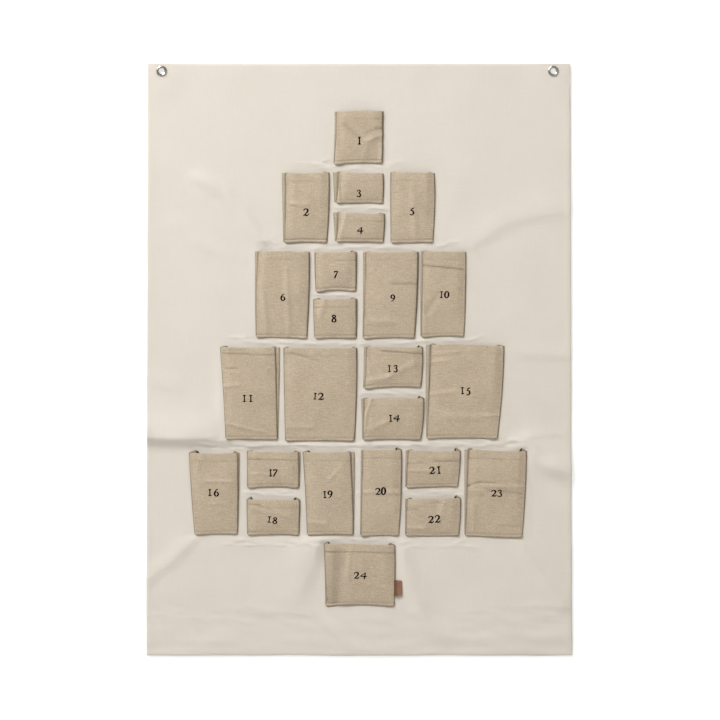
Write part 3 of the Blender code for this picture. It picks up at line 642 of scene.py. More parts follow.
# Folds of the canvas in millimetres from the middle of its eyelet line: the points of their ridge, how wide
# they are on the side of the light and on the other side, and their height at both ends of the ridge
canvasFolds = (
    (((-385, -647), (-318, -650), (-275, -649), (-257, -644)), 44, 14, 13.0, 8.0),
    (((-256, -655), (-200, -663), (-110, -661), (0, -664), (110, -661), (216, -664), (312, -647), (385, -638)),
     8, 5, 3.0, 0.5),
    (((-282, -192), (-240, -216), (-206, -256), (-175, -298)), 14, 11, 3.6, 4.6),
    (((-322, -276), (-280, -306), (-236, -328)), 14, 11, 2.4, 1.4),
    (((188, -314), (223, -291), (268, -264), (330, -250), (372, -246)), 30, 13, 2.8, 2.8),
    (((290, -668), (330, -696), (385, -714)), 34, 18, 6.5, 10.0),
    (((-70, -838), (-84, -868), (-112, -935)), 42, 19, 8.5, 3.2),
    (((76, -850), (90, -912), (120, -978), (142, -1002)), 17, 16, 4.6, 3.0),
    (((280, -828), (316, -888), (358, -945)), 14, 12, 3.6, 3.4),
    (((-296, -832), (-330, -868), (-372, -900)), 16, 11, 3.4, 2.8),
    (((318, -948), (356, -950)), 7, 6, 1.5, 1.5),
    (((-160, -958), (-75, -966)), 16, 10, 1.2, 1.6),
    (((-52, -985), (-25, -1012)), 13, 8, 3.0, 3.0),
    (((290, -500), (372, -504)), 16, 9, 1.8, 2.0),
    (((-365, -1004), (-280, -1012), (-200, -1008)), 12, 8, 0.9, 1.1),
    (((170, -1012), (260, -1006), (350, -1010)), 12, 8, 0.7, 1.2),
    (((-236, -838), (-205, -832), (-150, -842)), 12, 8, 1.1, 1.1),
    (((-372, -545), (-330, -560)), 16, 10, 1.6, 1.6),
)
lightSide = (-0.62, 0.78)
# Ripples of the canvas: wavelength and height of each band
canvasRipples = {
    "open": ((0.16, 0.0016), (0.06, 0.0006), (0.022, 0.00022)),
    "between": ((0.019, 0.0022), (0.008, 0.0008)),
    "overHem": ((0.090, 0.0018), (0.045, 0.0009)), "foot": ((0.044, 0.0013), (0.017, 0.0004)),
    "side": ((0.12, 1.0),), "lowEdge": ((0.09, 1.3), (0.03, 0.4)), "highEdge": ((0.10, 1.0),),
}
# How far the canvas lifts the corners of the pockets beside its folds, in millimetres: bottom left and
# right, top left and right
raised = {
    11: (6.0, 1.2, 0.6, 0.0), 12: (1.2, 0.4, 0.0, 0.0), 16: (0.0, 0.0, 0.4, 0.8), 15: (0.3, 1.6, 0.0, 0.0),
    20: (1.2, 0.6, 0.0, 0.0), 19: (0.0, 1.2, 0.0, 0.0), 23: (0.0, 0.6, 0.4, 3.0), 24: (0.0, 0.0, 1.0, 1.0),
    1: (0.0, 0.0, 0.3, 0.3), 6: (0.0, 0.0, 1.2, 0.0), 10: (0.0, 0.0, 0.0, 1.0),
}
foldLook = {"end": 0.018, "crest": 0.004, "uneven": 0.45, "patch": 0.045, "grip": 0.0003, "reach": 0.0055}


def spreadLines(marks, cell):  # the marks, and lines between them no further apart than a cell
    lines = [marks[0]]
    for low, high in zip(marks, marks[1:]):
        count = max(1, math.ceil((high - low) / cell - 0.001))
        lines += [low + (high - low) * (k + 1) / count for k in range(count)]
    return lines


def foldsAt(xs, zs):  # how far the folds lift every point of the canvas
    px, pz = np.meshgrid(xs, zs)
    lift = np.zeros_like(px)
    look = foldLook
    uneven = np.array([[1 + ripple(x, z, 12.0, (look["patch"], look["uneven"])) for x in xs] for z in zs])
    for points, litWidth, shadedWidth, firstHeight, lastHeight in canvasFolds:
        points = [Vector(point) / 1000 for point in points]
        nearest = np.full_like(px, 1e9)
        folded = np.zeros_like(px)
        last = len(points) - 2
        for k, (start, end) in enumerate(zip(points, points[1:])):
            length = (end - start).length
            dx, dz = (end - start) / length
            offX, offZ = px - start.x, pz - start.y
            along = offX * dx + offZ * dz
            beyond = np.maximum(-along, 0) if k == 0 else 0
            beyond = beyond + (np.maximum(along - length, 0) if k == last else 0)
            turned = np.maximum(-along, 0) * (k > 0) + np.maximum(along - length, 0) * (k < last)
            across = offX * dz - offZ * dx
            lit = across * math.copysign(1.0, dz * lightSide[0] - dx * lightSide[1])
            litShare = 0.5 + 0.5 * np.clip(lit / look["crest"], -1, 1)
            width = shadedWidth + (litWidth - shadedWidth) * litShare
            away = np.hypot(np.hypot(across, turned) / (width / 1000), beyond / look["end"])
            distance = np.hypot(np.hypot(across, turned), beyond)
            share = (k + np.clip(along / length, 0, 1)) / (last + 1)
            height = (firstHeight + (lastHeight - firstHeight) * share) / 1000
            folded = np.where(distance < nearest, height * np.exp(-away ** 2), folded)
            nearest = np.minimum(nearest, distance)
        lift += folded * uneven
    return lift


def carriedAt(number, x, z):  # how far the canvas lifts a pocket at a place, or at many
    outline = outlines[number]
    left, right = outline["low"]
    across = np.clip((x - left) / (right - left), 0, 1)
    up = np.clip((z - outline["bottom"]) / outline["height"], 0, 1)
    lowLeft, lowRight, highLeft, highRight = raised.get(number, (0, 0, 0, 0))
    low, high = lowLeft + (lowRight - lowLeft) * across, highLeft + (highRight - highLeft) * across
    return (low + (high - low) * up) / 1000


# Over the canvas: how far the nearest pocket is, and the lift and hold of them all
def heldByPockets(xs, zs):
    px, pz = np.meshgrid(xs, zs)
    nearest, lifts, holds = np.full_like(px, 1.0), np.zeros_like(px), np.zeros_like(px)
    for number, outline in outlines.items():
        left = min(outline["low"][0], outline["high"][0])
        right = max(outline["low"][1], outline["high"][1])
        dx = np.maximum(np.maximum(left - px, px - right), 0)
        dz = np.maximum(np.maximum(outline["bottom"] - pz, pz - outline["top"]), 0)
        away = np.hypot(dx, dz)
        hold = 1 / (away ** 2 + foldLook["grip"] ** 2)
        nearest = np.minimum(nearest, away)
        lifts += hold * carriedAt(number, px, pz)
        holds += hold
    return nearest, lifts, holds


def makeCanvas():
    solid = pointsOf(nodes["backing_canvas"])
    bottom, top = solid[:, 2].min(), solid[:, 2].max()
    halfTop = np.abs(solid[solid[:, 2] > top - 0.001][:, 0]).max()
    halfLow = np.abs(solid[:, 0]).max()
    hem = canvasShape["sideHem"]
    marks = [-halfTop, 0.0008 - halfTop, 0.0045 - halfTop, hem - 0.0008 - halfTop, hem + 0.0005 - halfTop,
             hem + 0.0018 - halfTop]
    xs = np.array(spreadLines(marks + [-mark for mark in reversed(marks)], canvasShape["cell"]))
    low = bottom + canvasShape["bottomHem"]
    high = top - canvasShape["topHem"]
    rows = canvasShape["fineRows"]
    marks = sorted([bottom, bottom + 0.0008, bottom + 0.005, low - 0.0008, low + 0.0005, low + 0.0018,
                    high - 0.0018, high - 0.0005, high + 0.0008, top - 0.0008, top, *sum(rows, ())])
    zs = [bottom]
    for start, end in zip(marks, marks[1:]):
        fine = any(first <= start and end <= last for first, last in rows)
        zs += spreadLines([start, end], canvasShape["fineCell"] if fine else canvasShape["highCell"])[1:]
    zs = np.array(zs)
    folds = foldsAt(xs, zs)
    nearest, lifts, holds = heldByPockets(xs, zs)
    lifts = (lifts + folds / foldLook["reach"] ** 2) / (holds + 1 / foldLook["reach"] ** 2)
    points = np.zeros((len(zs), len(xs), 3))
    cloth = np.zeros((len(zs), len(xs), 2))
    wave, bands = canvasShape["wave"], canvasRipples
    for j, z in enumerate(zs):
        drop = (top - z) / (top - bottom)
        for i, x in enumerate(xs):
            hemStart = max(ramp(abs(x), halfTop - hem - 0.003, halfTop - hem + 0.001),
                           1 - ramp(z, low - 0.001, low + 0.003), ramp(z, high - 0.006, high + 0.002))
            away = nearest[j, i]
            lift = lifts[j, i] * (1 - 0.8 * ramp(z, high - 0.05, high))
            clear = ramp(away, 0.002, 0.040)
            lift += clear * (0.0004 + ripple(x, z, 1.7, *bands["open"]))
            between = ramp(away, 0.0003, 0.003) * ramp(holds[j, i] * away ** 2, 1.15, 1.55) * (away < 0.02)
            lift += between * (0.0005 + ripple(x + 0.7 * z, 2.6 * z, 5.1, *bands["between"]))
            lowBand = 1 - ramp(abs(z - low - 0.014), 0.004, 0.032)
            lift += ripple(x, 4 * z, 8.0, *bands["overHem"]) * lowBand
            foot = (1 - ramp(z, low + 0.055, low + 0.110)) * ramp(z, low, low + 0.01) * clear
            lift += ripple(x + 0.4 * z, 2.2 * z, 14.0, *bands["foot"]) * foot
            lift = max(lift, -0.0004)
            lift += 0.00014 * hemStart
            edge = min(halfTop - abs(x), z - bottom, top - z)
            lift -= 0.0008 * (1 - ramp(edge, 0.0, 0.0009))
            atEyelet = min(math.hypot(x - place[0], (z + 0.004) * 0.8) for place in eyeletPlaces.values())
            held = 1 - ramp(atEyelet, 0.012, 0.060)
            lift = lift * (1 - held) + canvasShape["eyeletRise"] * held
            spread = 1 + (halfLow / halfTop - 1) * drop * ramp(abs(x) / halfTop, 0.5, 1.0)
            sideWave = wave * ripple(math.copysign(3.0, x), z, 4.0, *bands["side"])
            sideWave *= ramp(abs(x) / halfTop, 0.8, 1)
            lowWave = wave * ripple(x, 2.0, 6.0, *bands["lowEdge"]) * (1 - ramp(z - bottom, 0, 0.05))
            highWave = 0.4 * wave * ripple(x, 3.0, 7.0, *bands["highEdge"]) * ramp(z, top - 0.03, top)
            points[j, i] = (x * spread + sideWave, canvasFace - lift, z + lowWave + highWave)
            cloth[j, i] = (x, z)
    canvas, row, column = addSheet("canvas_sheet", points, cloth)
    thick = np.flatnonzero((np.abs(xs[column]) > halfTop - hem) | (zs[row] < low) | (zs[row] > high))
    thickness = canvasShape["thickness"]
    addWall(canvas, thickness * canvasShape["hemLayers"], -1.0, thick, 1 / canvasShape["hemLayers"])
    for x, z in eyeletPlaces.values():
        deselectAll()
        bpy.ops.mesh.primitive_cylinder_add(vertices=40, radius=canvasShape["eyeletHole"], depth=0.03,
                                            location=(x, 0, z), rotation=(math.pi / 2, 0, 0))
        punch = chosen("punch")
        settle(punch)
        hole = canvas.modifiers.new("hole", "BOOLEAN")
        hole.operation, hole.solver, hole.object = "DIFFERENCE", "EXACT", punch
        applyAll(canvas)
        bpy.data.objects.remove(punch)
    smooth(canvas)
    dress(canvas, "canvas")
    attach(canvas, "hanging")
    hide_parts("backing_canvas")
    return canvas


canvas = makeCanvas()
canvasTree = treeOf(canvas)
print("canvas hung:", len(canvas.data.polygons), "faces")


# Creases pressed into single pockets, in millimetres on the canvas: two ends, half width, height, which also sets
# their painted shade and highlight
creases = {
    1: ((-25, -95, -6, -114, 4, -1.6), (16, -109, 40, -100, 2.5, -1.3), (14, -123, 40, -113, 4, 1.9),
         (18, -125, 1, -166, 6, .5), (40, -133, 39, -157, 5, 1.6), (-41, -125, -38, -161, 6, 1.0)),
    2: ((-123, -234, -94, -237, 4, .8),),
    3: ((-38, -181, -35, -236, 2.2, .9), (-25, -213, -6, -213, 1.8, .5)),
    4: ((-23, -252, -36, -303, 3.5, 1.5),),
    5: ((95, -202, 99, -296, 6, .8),),
    6: ((-174, -376, -164, -459, 5, .9), (-130, -353, -125, -459, 5, .8)),
    8: ((-61, -406, -70, -433, 5, .7),),
    9: ((60, -377, 101, -378, 1.8, -.6), (23, -443, 58, -445, 6, 1.1)),
    10: ((113, -345, 181, -351, 1.5, -1.1), (115, -406, 115, -459, 5, .8), (138, -401, 122, -424, 5, -.7)),
    11: ((-238, -495, -206, -495, 1.4, -.5), (-240, -501, -155, -504, 1.4, -.8),
         (-235, -529, -219, -529, 2, -.9), (-240, -559, -215, -557, 3.5, 1.5), (-235, -625, -173, -639, 3, 1.1)),
    12: ((-135, -501, -121, -501, 1.5, -.7), (-116, -502, -74, -514, 2.2, -1.4), (-126, -631, -84, -631, 5, .8)),
    13: ((42, -497, 113, -501, 1.4, -1.2), (17, -548, 51, -542, 4.5, 2.0), (51, -542, 94, -519, 6, 1.0),
         (14, -495, 19, -534, 3, .9)),
    14: ((21, -582, 13, -608, 2.4, 1.7), (13, -608, 10, -635, 2.4, 1.3), (17, -636, 48, -622, 5, 1.0)),
    15: ((133, -501, 174, -499, 3, .9), (131, -515, 156, -514, 3, .7), (127, -572, 170, -568, 4, 1.3),
         (220, -610, 248, -610, 2.4, 1.4), (154, -612, 225, -614, 8, .9)),
    16: ((-268, -727, -228, -728, 2.4, 1.8), (-261, -768, -233, -768, 2, .4)),
    17: ((-197, -714, -162, -714, 1.9, 1.2), (-196, -689, -172, -689, 1.4, -.2)),
    18: ((-203, -769, -178, -770, 1.7, -.5), (-178, -770, -153, -780, 1.7, -.35),
         (-188, -777, -126, -788, 5, .6)),
    19: ((-52, -724, -34, -704, 4, .6), (-91, -800, -61, -802, 4, .7)),
    20: ((5, -747, 72, -747, 3, .9),),
    21: ((83, -697, 110, -695, 1.5, -.5), (135, -692, 179, -692, 1.4, -.9), (81, -709, 129, -709, 2.5, .6)),
    22: ((81, -777, 103, -777, 1.5, -.6), (126, -766, 145, -766, 1.6, -.6), (140, -796, 152, -761, 6, .9),
         (85, -811, 117, -811, 4, .9)),
    23: ((195, -736, 214, -730, 2, -1.0), (214, -730, 239, -731, 2, -1.2), (224, -736, 289, -737, 2.8, .8),
         (197, -755, 218, -753, 1.9, -.30), (218, -753, 230, -744, 1.9, -.30),
         (230, -744, 252, -745, 1.8, -.40), (252, -745, 286, -749, 1.9, -.65),
         (193, -744, 216, -745, 3, .5), (250, -805, 290, -807, 1.8, -.40), (203, -768, 203, -814, 4, .4)),
    24: ((-40, -862, -43, -935, 10, -2.6), (-16, -852, -20, -894, 4, .6),
         (23, -912, 58, -919, 4, .3)),
}


# On a front, from its edges: the middle of the stitched rim, the groove beside it, the hem's line, and the ridge, the
# seam and the grooved line over the bottom, which is also painted dark. Then its ripples, as wavelength and height of
# each band
frontLook = {
    "rim": 0.0012, "groove": 0.0033, "hemLine": 0.0143, "ridge": 0.0033, "footSeam": 0.0052,
    "lowLine": 0.0060,
    "edgeRipple": ((0.045, 0.0010), (0.018, 0.0005)), "pucker": ((0.011, 1.0), (0.005, 0.5)),
    "faceRipple": ((0.045, 0.0016), (0.021, 0.0007), (0.010, 0.0003)), "hemRipple": ((0.02, 1.0),),
    "mouthRipple": ((0.03, 1.0),), "softEdge": 0.016,
}
# How much painted light (over 0) or painted shade the cloth gets there; pairs are a least share and what the tables'
# values add
frontLightAndShade = {
    "rim": 0.04, "groove": -0.05, "ridge": 0.56, "lowLine": (0.20, 0.42), "hemLine": -0.55, "mouth": 0.12,
    "foot": -0.34, "leftEdge": (0.08, 0.46), "rightEdge": (0.06, 0.36), "rightBand": -0.14,
}
# Of creases: the width in millimetres that parts sharp ones from soft ones, then for both kinds how much of a
# crease's height is relief, the most relief in millimetres, and how much of it is painted shade and painted highlight
creaseLook = {"sharp": 2, "sharpOnes": (1.4, 1.1, 0.42, 0.14), "softOnes": (2.4, 1.8, 0.10, 0.10)}


# From the canvas to the outside of a pocket's front, which is less beside its edges
def depthAt(share, inside, shade):
    shape = pocketShape
    rise = (shape["mouthDepth"] - shape["foldedDepth"]) * (1 - (1 - share) ** 2)
    roll = shape["roll"][0] + (shape["roll"][1] - shape["roll"][0]) * shade
    return shape["foldedDepth"] + rise * (1 - roll * (1 - ramp(inside, 0.0, frontLook["softEdge"])))


def creaseAt(number, x, z):  # height and painted light and shade of the creases at a place
    lift = tone = 0.0
    for x0, z0, x1, z1, halfWidth, height in creases.get(number, ()):
        along = Vector((x1 - x0, z1 - z0)) / 1000
        offset = Vector((x - x0 / 1000, z - z0 / 1000))
        share = offset.dot(along) / along.length_squared
        beyond = max(-share, share - 1, 0.0) * along.length
        across = (offset - along * share).length
        near = math.exp(-(across / halfWidth * 1000) ** 2 - (beyond / max(0.004, halfWidth / 800)) ** 2)
        kind = "sharpOnes" if halfWidth < creaseLook["sharp"] else "softOnes"
        relief, most, dark, light = creaseLook[kind]
        lift += min(max(relief * height, -most), most) / 1000 * near
        tone += (dark if height < 0 else light) * height * near
    return lift, tone


def bell(distance, width):
    return math.exp(-(distance / width) ** 2)


def frontPoint(outline, across, z, seed):  # the outside of a front: x, height over the canvas, z and painted light and shade
    number, look, tones = outline["number"], frontLook, frontLightAndShade
    hemLeft, hemRight, *lights, hangLeft, hangRight = hemRidgeHangAndPaintedLight[number]
    share = min(max((z - outline["bottom"]) / outline["height"], 0.0), 1.0)
    fromTop, fromBottom = outline["top"] - z, z - outline["bottom"]
    corner = 1 - min(fromBottom / 0.0030, 1.0)
    drawn = pocketShape["drawIn"] * (1 - ramp(fromTop, 0.0, 0.006)) + 0.0020 * corner ** 3
    left, right = [bend(edge, share) for edge in outline["edges"]]
    left += 0.6 * ripple(0.0, z, seed, *look["edgeRipple"]) + drawn
    right += 0.6 * ripple(3.0, z, seed, *look["edgeRipple"]) - drawn
    x = left + (right - left) * across
    arch = math.sin(math.pi * across)
    inside = min(x - left, right - x)
    shadeLeft, shadeRight = edgeShades[number]
    lift = depthAt(share, inside, shadeLeft if across < 0.5 else shadeRight)
    lift += arch * (pocketShape["belly"] * math.sin(math.pi * share) - pocketShape["sag"] * share ** 3)
    soft = ramp(inside, 0.0, 0.012) * 0.7 + 0.3
    lift += soft * ripple(x, z, seed, *look["faceRipple"])
    creased, creaseLightAndShade = creaseAt(number, x, z)
    lift += creased
    # hem of the mouth, edge-stitched rims, and the ridge along the bottom, in relief and in painted light and shade
    hemmed = hemLeft + (hemRight - hemLeft) * ramp(across, 0.2, 0.8)
    hemmed *= 1 + ripple(x, 4.0, seed, *look["hemRipple"])
    hemLine = bell(fromTop - look["hemLine"], 0.0009)
    rim, groove = bell(inside - look["rim"], 0.0009), bell(inside - look["groove"], 0.0007)
    ridge, lowLine = bell(fromBottom - look["ridge"], 0.0010), bell(fromBottom - look["lowLine"], 0.0011)
    light = lights[0] + (lights[1] - lights[0]) * ramp(across, 0.08, 0.42)
    light += (lights[2] - lights[1]) * ramp(across, 0.58, 0.92)
    lift += 0.00035 * (1 - ramp(fromTop, 0.0125, 0.0150)) - 0.00045 * hemLine * (0.25 + hemmed)
    lift += 0.00015 * (1 - ramp(inside, 0.0022, 0.0036)) - 0.0008 * (1 - ramp(inside, 0.0, 0.0020))
    lift -= 0.0011 * (1 - ramp(fromBottom, 0.0, 0.0026))
    lift += (0.0008 * ridge - 0.00040 * lowLine) * (0.3 + 0.7 * light) - 0.00015 * groove
    pucker = ripple(x, 0.0, seed + 3, *look["pucker"])
    lift += 0.0006 * pucker * (1 - ramp(fromBottom, 0.002, 0.014))
    lift += 0.0012 * bell(inside, 0.012) * bell(fromBottom, 0.006)
    # painted highlight on rims, ridge and mouth; painted shade in grooves, hem line, bottom edge and along the edges
    tone = creaseLightAndShade + tones["rim"] * rim + tones["groove"] * groove + tones["ridge"] * light * ridge
    tone += tones["hemLine"] * hemmed * hemLine + tones["mouth"] * (1 - ramp(fromTop, 0.0, 0.0014))
    tone += tones["rightBand"] * shadeRight * (1 - ramp(right - x, 0.0004, 0.0046))
    tone += tones["foot"] * (1 - ramp(fromBottom, 0.0004, 0.0020))
    for key, value, near in (("lowLine", light, lowLine),
                             ("leftEdge", shadeLeft, 1 - ramp(x - left, 0.0002, 0.0018)),
                             ("rightEdge", shadeRight, 1 - ramp(right - x, 0.0002, 0.0020))):
        tone -= (tones[key][0] + tones[key][1] * value) * near
    hang = hangLeft * (1 - ramp(x - left, 0.0110, 0.0150))
    hang += hangRight * (1 - ramp(right - x, 0.0110, 0.0150))
    zPoint = z - 0.0006 * ripple(x, 1.0, seed, *look["mouthRipple"]) * share ** 3
    zPoint += levelShift(outline, across, share)
    zPoint += (0.0006 * pucker - 0.0010 * hang) * (1 - ramp(fromBottom, 0.0, 0.010))
    return x, lift + carriedAt(number, x, zPoint), zPoint, tone


def seedOf(number):  # of a front's ripples
    return 11.0 + 2.37 * number


def rowsOfFront(outline):  # (z, how far behind the outside) up the inner hem, over the mouth, and down
    shape = pocketShape
    bottom, top, step = outline["bottom"], outline["top"], shape["layerStep"]
    inner = [(z, step) for z in spreadLines([top - shape["mouthHem"], top - 0.0008], 0.0026)]
    over = [(top - 0.0003, step * 0.92), (top, step * 0.5), (top - 0.0003, step * 0.08)]
    marks = [bottom + 0.0008, bottom + 0.0021, bottom + 0.0036, bottom + 0.0052, bottom + 0.0068,
             top - 0.0158, top - frontLook["hemLine"], top - 0.0128, top - 0.0008]
    outer = [(z, 0.0) for z in reversed(spreadLines(marks, shape["cell"]))]
    under = [(bottom + 0.0003, step * 0.08), (bottom, step * 0.5), (bottom + 0.0003, step * 0.92)]
    turned = [(z, step) for z in spreadLines([bottom + 0.0008, bottom + shape["turnedUnder"]], 0.0026)]
    return inner + over + outer + under + turned


def makeFront(outline):
    number, width, shape = outline["number"], outline["width"], pocketShape
    seed, rows = seedOf(number), rowsOfFront(outline)
    marks = [0.0, 0.0009, 0.0020, 0.0027, 0.0033, 0.0039, 0.0050]
    lines = spreadLines(marks + [width - mark for mark in reversed(marks)], shape["cell"])
    points = np.zeros((len(rows), len(lines), 3))
    cloth = np.zeros((len(rows), len(lines), 2))
    tones = np.zeros((len(rows), len(lines)))
    run = 0.0
    for j, (z, behind) in enumerate(rows):
        if j:
            run -= math.hypot(z - rows[j - 1][0], behind - rows[j - 1][1])
        for i, line in enumerate(lines):
            x, lift, zPoint, tone = frontPoint(outline, line / width, z, seed)
            # the turned-in layers get painted shade
            tones[j, i] = tone if behind < shape["layerStep"] else -0.3
            points[j, i] = (x, canvasFace - lift + shape["thickness"] / 2 + behind, zPoint)
            cloth[j, i] = (line + 0.37 * number, run + 0.23 * number)
    front, _, _ = addSheet(f"front_{number:02d}", points, cloth, tones)
    pick(front)
    editAll((bpy.ops.mesh.flip_normals, {}))
    addWall(front, shape["thickness"], 0.0)
    smooth(front)
    dress(front, "linen")
    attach(front, f"pocket_{number:02d}")
    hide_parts(f"pocket_{number:02d}_front")
    return front


# Lines across a gusset: x, depth, rise of the tab, place along its leaf and painted light and shade
def pleatLines(outline, share, side):
    shape = pocketShape
    edge = bend(outline["edges"][side], share)
    show = bend(outline["shows"][side], share)
    inward = -1 if side else 1
    seam = edge - inward * show
    flange = 0.0001 + shape["thickness"] / 2
    # the front's turned edge lies in front of the last leaf, over the hem by its inner layer too
    hemmed = ramp(share, 1 - 0.0175 / outline["height"], 1 - 0.0150 / outline["height"])
    shade = edgeShades[outline["number"]][side]
    last = depthAt(share, 0.0, shade) - shape["thickness"] * 1.5 - 0.00005 - hemmed * shape["layerStep"]
    under = 1 - ramp(share, 0.0065 / outline["height"], 0.0090 / outline["height"])
    last -= under * shape["layerStep"]
    middle = flange + (last - flange) * (0.5 + 0.14 * ramp(show, 0.0020, 0.0050))
    gap = min(0.0011, (last - flange) * 0.18)
    low, high = middle - gap, middle + gap
    fold = (seam + edge) / 2 + inward * outline["tabs"][side][1]
    wide = ramp(show, 0.0015, 0.0040)
    lines = [
        (seam + inward * shape["seamFlange"], flange, 0, 0, -.3),
        (seam + inward * 0.0025, flange, 0, 0, -.3), (seam + inward * 0.0006, flange, 0, 0, -.3),
        (seam, flange + (low - flange) * 0.5, .05, 0, -.3),
        (seam + inward * (0.0004 + show * 0.25), low + 0.0002 * wide, .10, 0, .15 * wide - .3 * (1 - wide)),
        (seam + inward * (0.0006 + show * 0.60), low + 0.0005 * wide, .20, 0, -.3 + .2 * wide),
        (seam + inward * (0.0010 + show * 0.95), low - 0.0004 * wide, .30, 0, -.5),
    ]
    for u, rise in ((0.45, .70), (0.62, 1.), (0.78, .85), (0.92, .45)):
        lines.append((seam + (fold - seam) * u, low, rise, u, -.2))
    lines += [(fold - inward * 0.0003, middle - gap * 0.4, .15, 1, -.3), (fold, middle, 0, 1, -.3),
              (fold - inward * 0.0003, middle + gap * 0.4, -.05, 1, -.3)]
    for u, rise in ((0.90, -.15), (0.65, -.30), (0.35, -.25)):
        lines.append((edge + (fold - edge) * u, high, rise, 0, -.3))
    # painted shade along the gusset's edge behind the front, darker on edges listed as dark
    dark = -0.10 - 0.40 * shade
    lines += [(edge + inward * 0.0020, high, -.1, 0, dark),
              (edge + inward * 0.0007, last - (last - high) * 0.35, 0, 0, dark),
              (edge + inward * 0.0006, last, 0, 0, dark), (edge + inward * 0.0022, last, 0, 0, -.4),
              (edge + inward * 0.0034, last, 0, 0, -.4)]
    return lines


def makeGusset(outline):
    number = outline["number"]
    shape = pocketShape
    seed = 41.0 + 1.93 * number
    bottom, top, height = outline["bottom"], outline["top"], outline["height"]
    hemStart = height - shape["mouthHem"]
    levels = spreadLines([0.0, hemStart], shape["legCell"]) + spreadLines([hemStart, height], 0.0014)[1:]
    floorSteps = math.ceil((outline["low"][1] - outline["low"][0]) / shape["legCell"])
    insets = [line[0] - outline["low"][0] for line in pleatLines(outline, 0.0, 0)]
    floorScale = shape["floorPleat"] / outline["tabs"][0][1]
    path = [("leg", 0, level / height) for level in reversed(levels[1:])]
    path += [("floor", None, step / floorSteps) for step in range(floorSteps + 1)]
    path += [("leg", 1, level / height) for level in levels[1:]]
    points = np.zeros((len(insets), len(path), 3))
    cloth = np.zeros((len(insets), len(path), 2))
    tones = np.zeros((len(insets), len(path)))
    for k, (kind, side, t) in enumerate(path):
        for line, inset in enumerate(insets):
            floorZ = bottom + 0.0024 + max(inset, 0.0) * floorScale
            if kind == "floor":
                share = (floorZ - bottom) / height
                left, right = pleatLines(outline, share, 0)[line], pleatLines(outline, share, 1)[line]
                x, z = left[0] + (right[0] - left[0]) * t, floorZ + levelShift(outline, t, share)
                depth, tone = pleatLines(outline, 0.0, 0)[line][1], left[4]
            else:
                z = floorZ + (top - floorZ) * t
                share = (z - bottom) / height
                x, depth, rise, u, tone = pleatLines(outline, share, side)[line]
                high = ramp(z, top - 0.012, top) * outline["tabs"][side][0] * shape["tabRise"]
                z += levelShift(outline, side, share) + rise * high
                depth += high * (0.20 * math.sin(math.pi * u) if u else 0.0)
                # painted shade inside the end of each pleat, under its raised tab
                foldShade = ramp(u, 0.62, 0.80) * bell(z - top - high * 0.42, 0.34 * high + 0.0004)
                tone -= shape["foldShade"] * foldShade * ramp(outline["tabs"][side][0], 0.25, 0.6)
                if 4 <= line <= 18:
                    x += ripple(z, line * 0.02, seed + side, (0.03, 0.0010))
            if 3 <= line <= 18 and side is not None:
                depth += ripple(side, z, seed, (0.025, 0.0005), (0.006, 0.0002))
            points[line, k] = (x, canvasFace - depth - carriedAt(number, x, z), z)
            tones[line, k] = tone
    runs = np.linalg.norm(np.diff(points[3], axis=0), axis=1).cumsum()
    cloth[:, 1:, 1] = runs
    cloth[:, :, 1] += 0.29 * number
    cloth[1:, :, 0] = np.linalg.norm(np.diff(points[:, 2], axis=0), axis=1).cumsum()[:, None]
    cloth[:, :, 0] += 0.41 * number
    gusset, _, _ = addSheet(f"gusset_{number:02d}", points, cloth, tones)
    addWall(gusset, shape["thickness"], 0.0)
    smooth(gusset)
    dress(gusset, "shadedLinen")
    middle = (outline["edges"][0][0] + outline["edges"][1][0]) / 2
    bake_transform(gusset)
    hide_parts(f"pocket_{number:02d}_gusset")
    2 * height + outline["low"][1] - outline["low"][0]
    return gusset


fronts, trees = {}, {}
for number in pocketNumbers:
    makeGusset(outlines[number])
    fronts[number] = makeFront(outlines[number])
    trees[number] = treeOf(fronts[number])
    print("pocket", number, "sewn:", len(fronts[number].data.polygons), "faces")

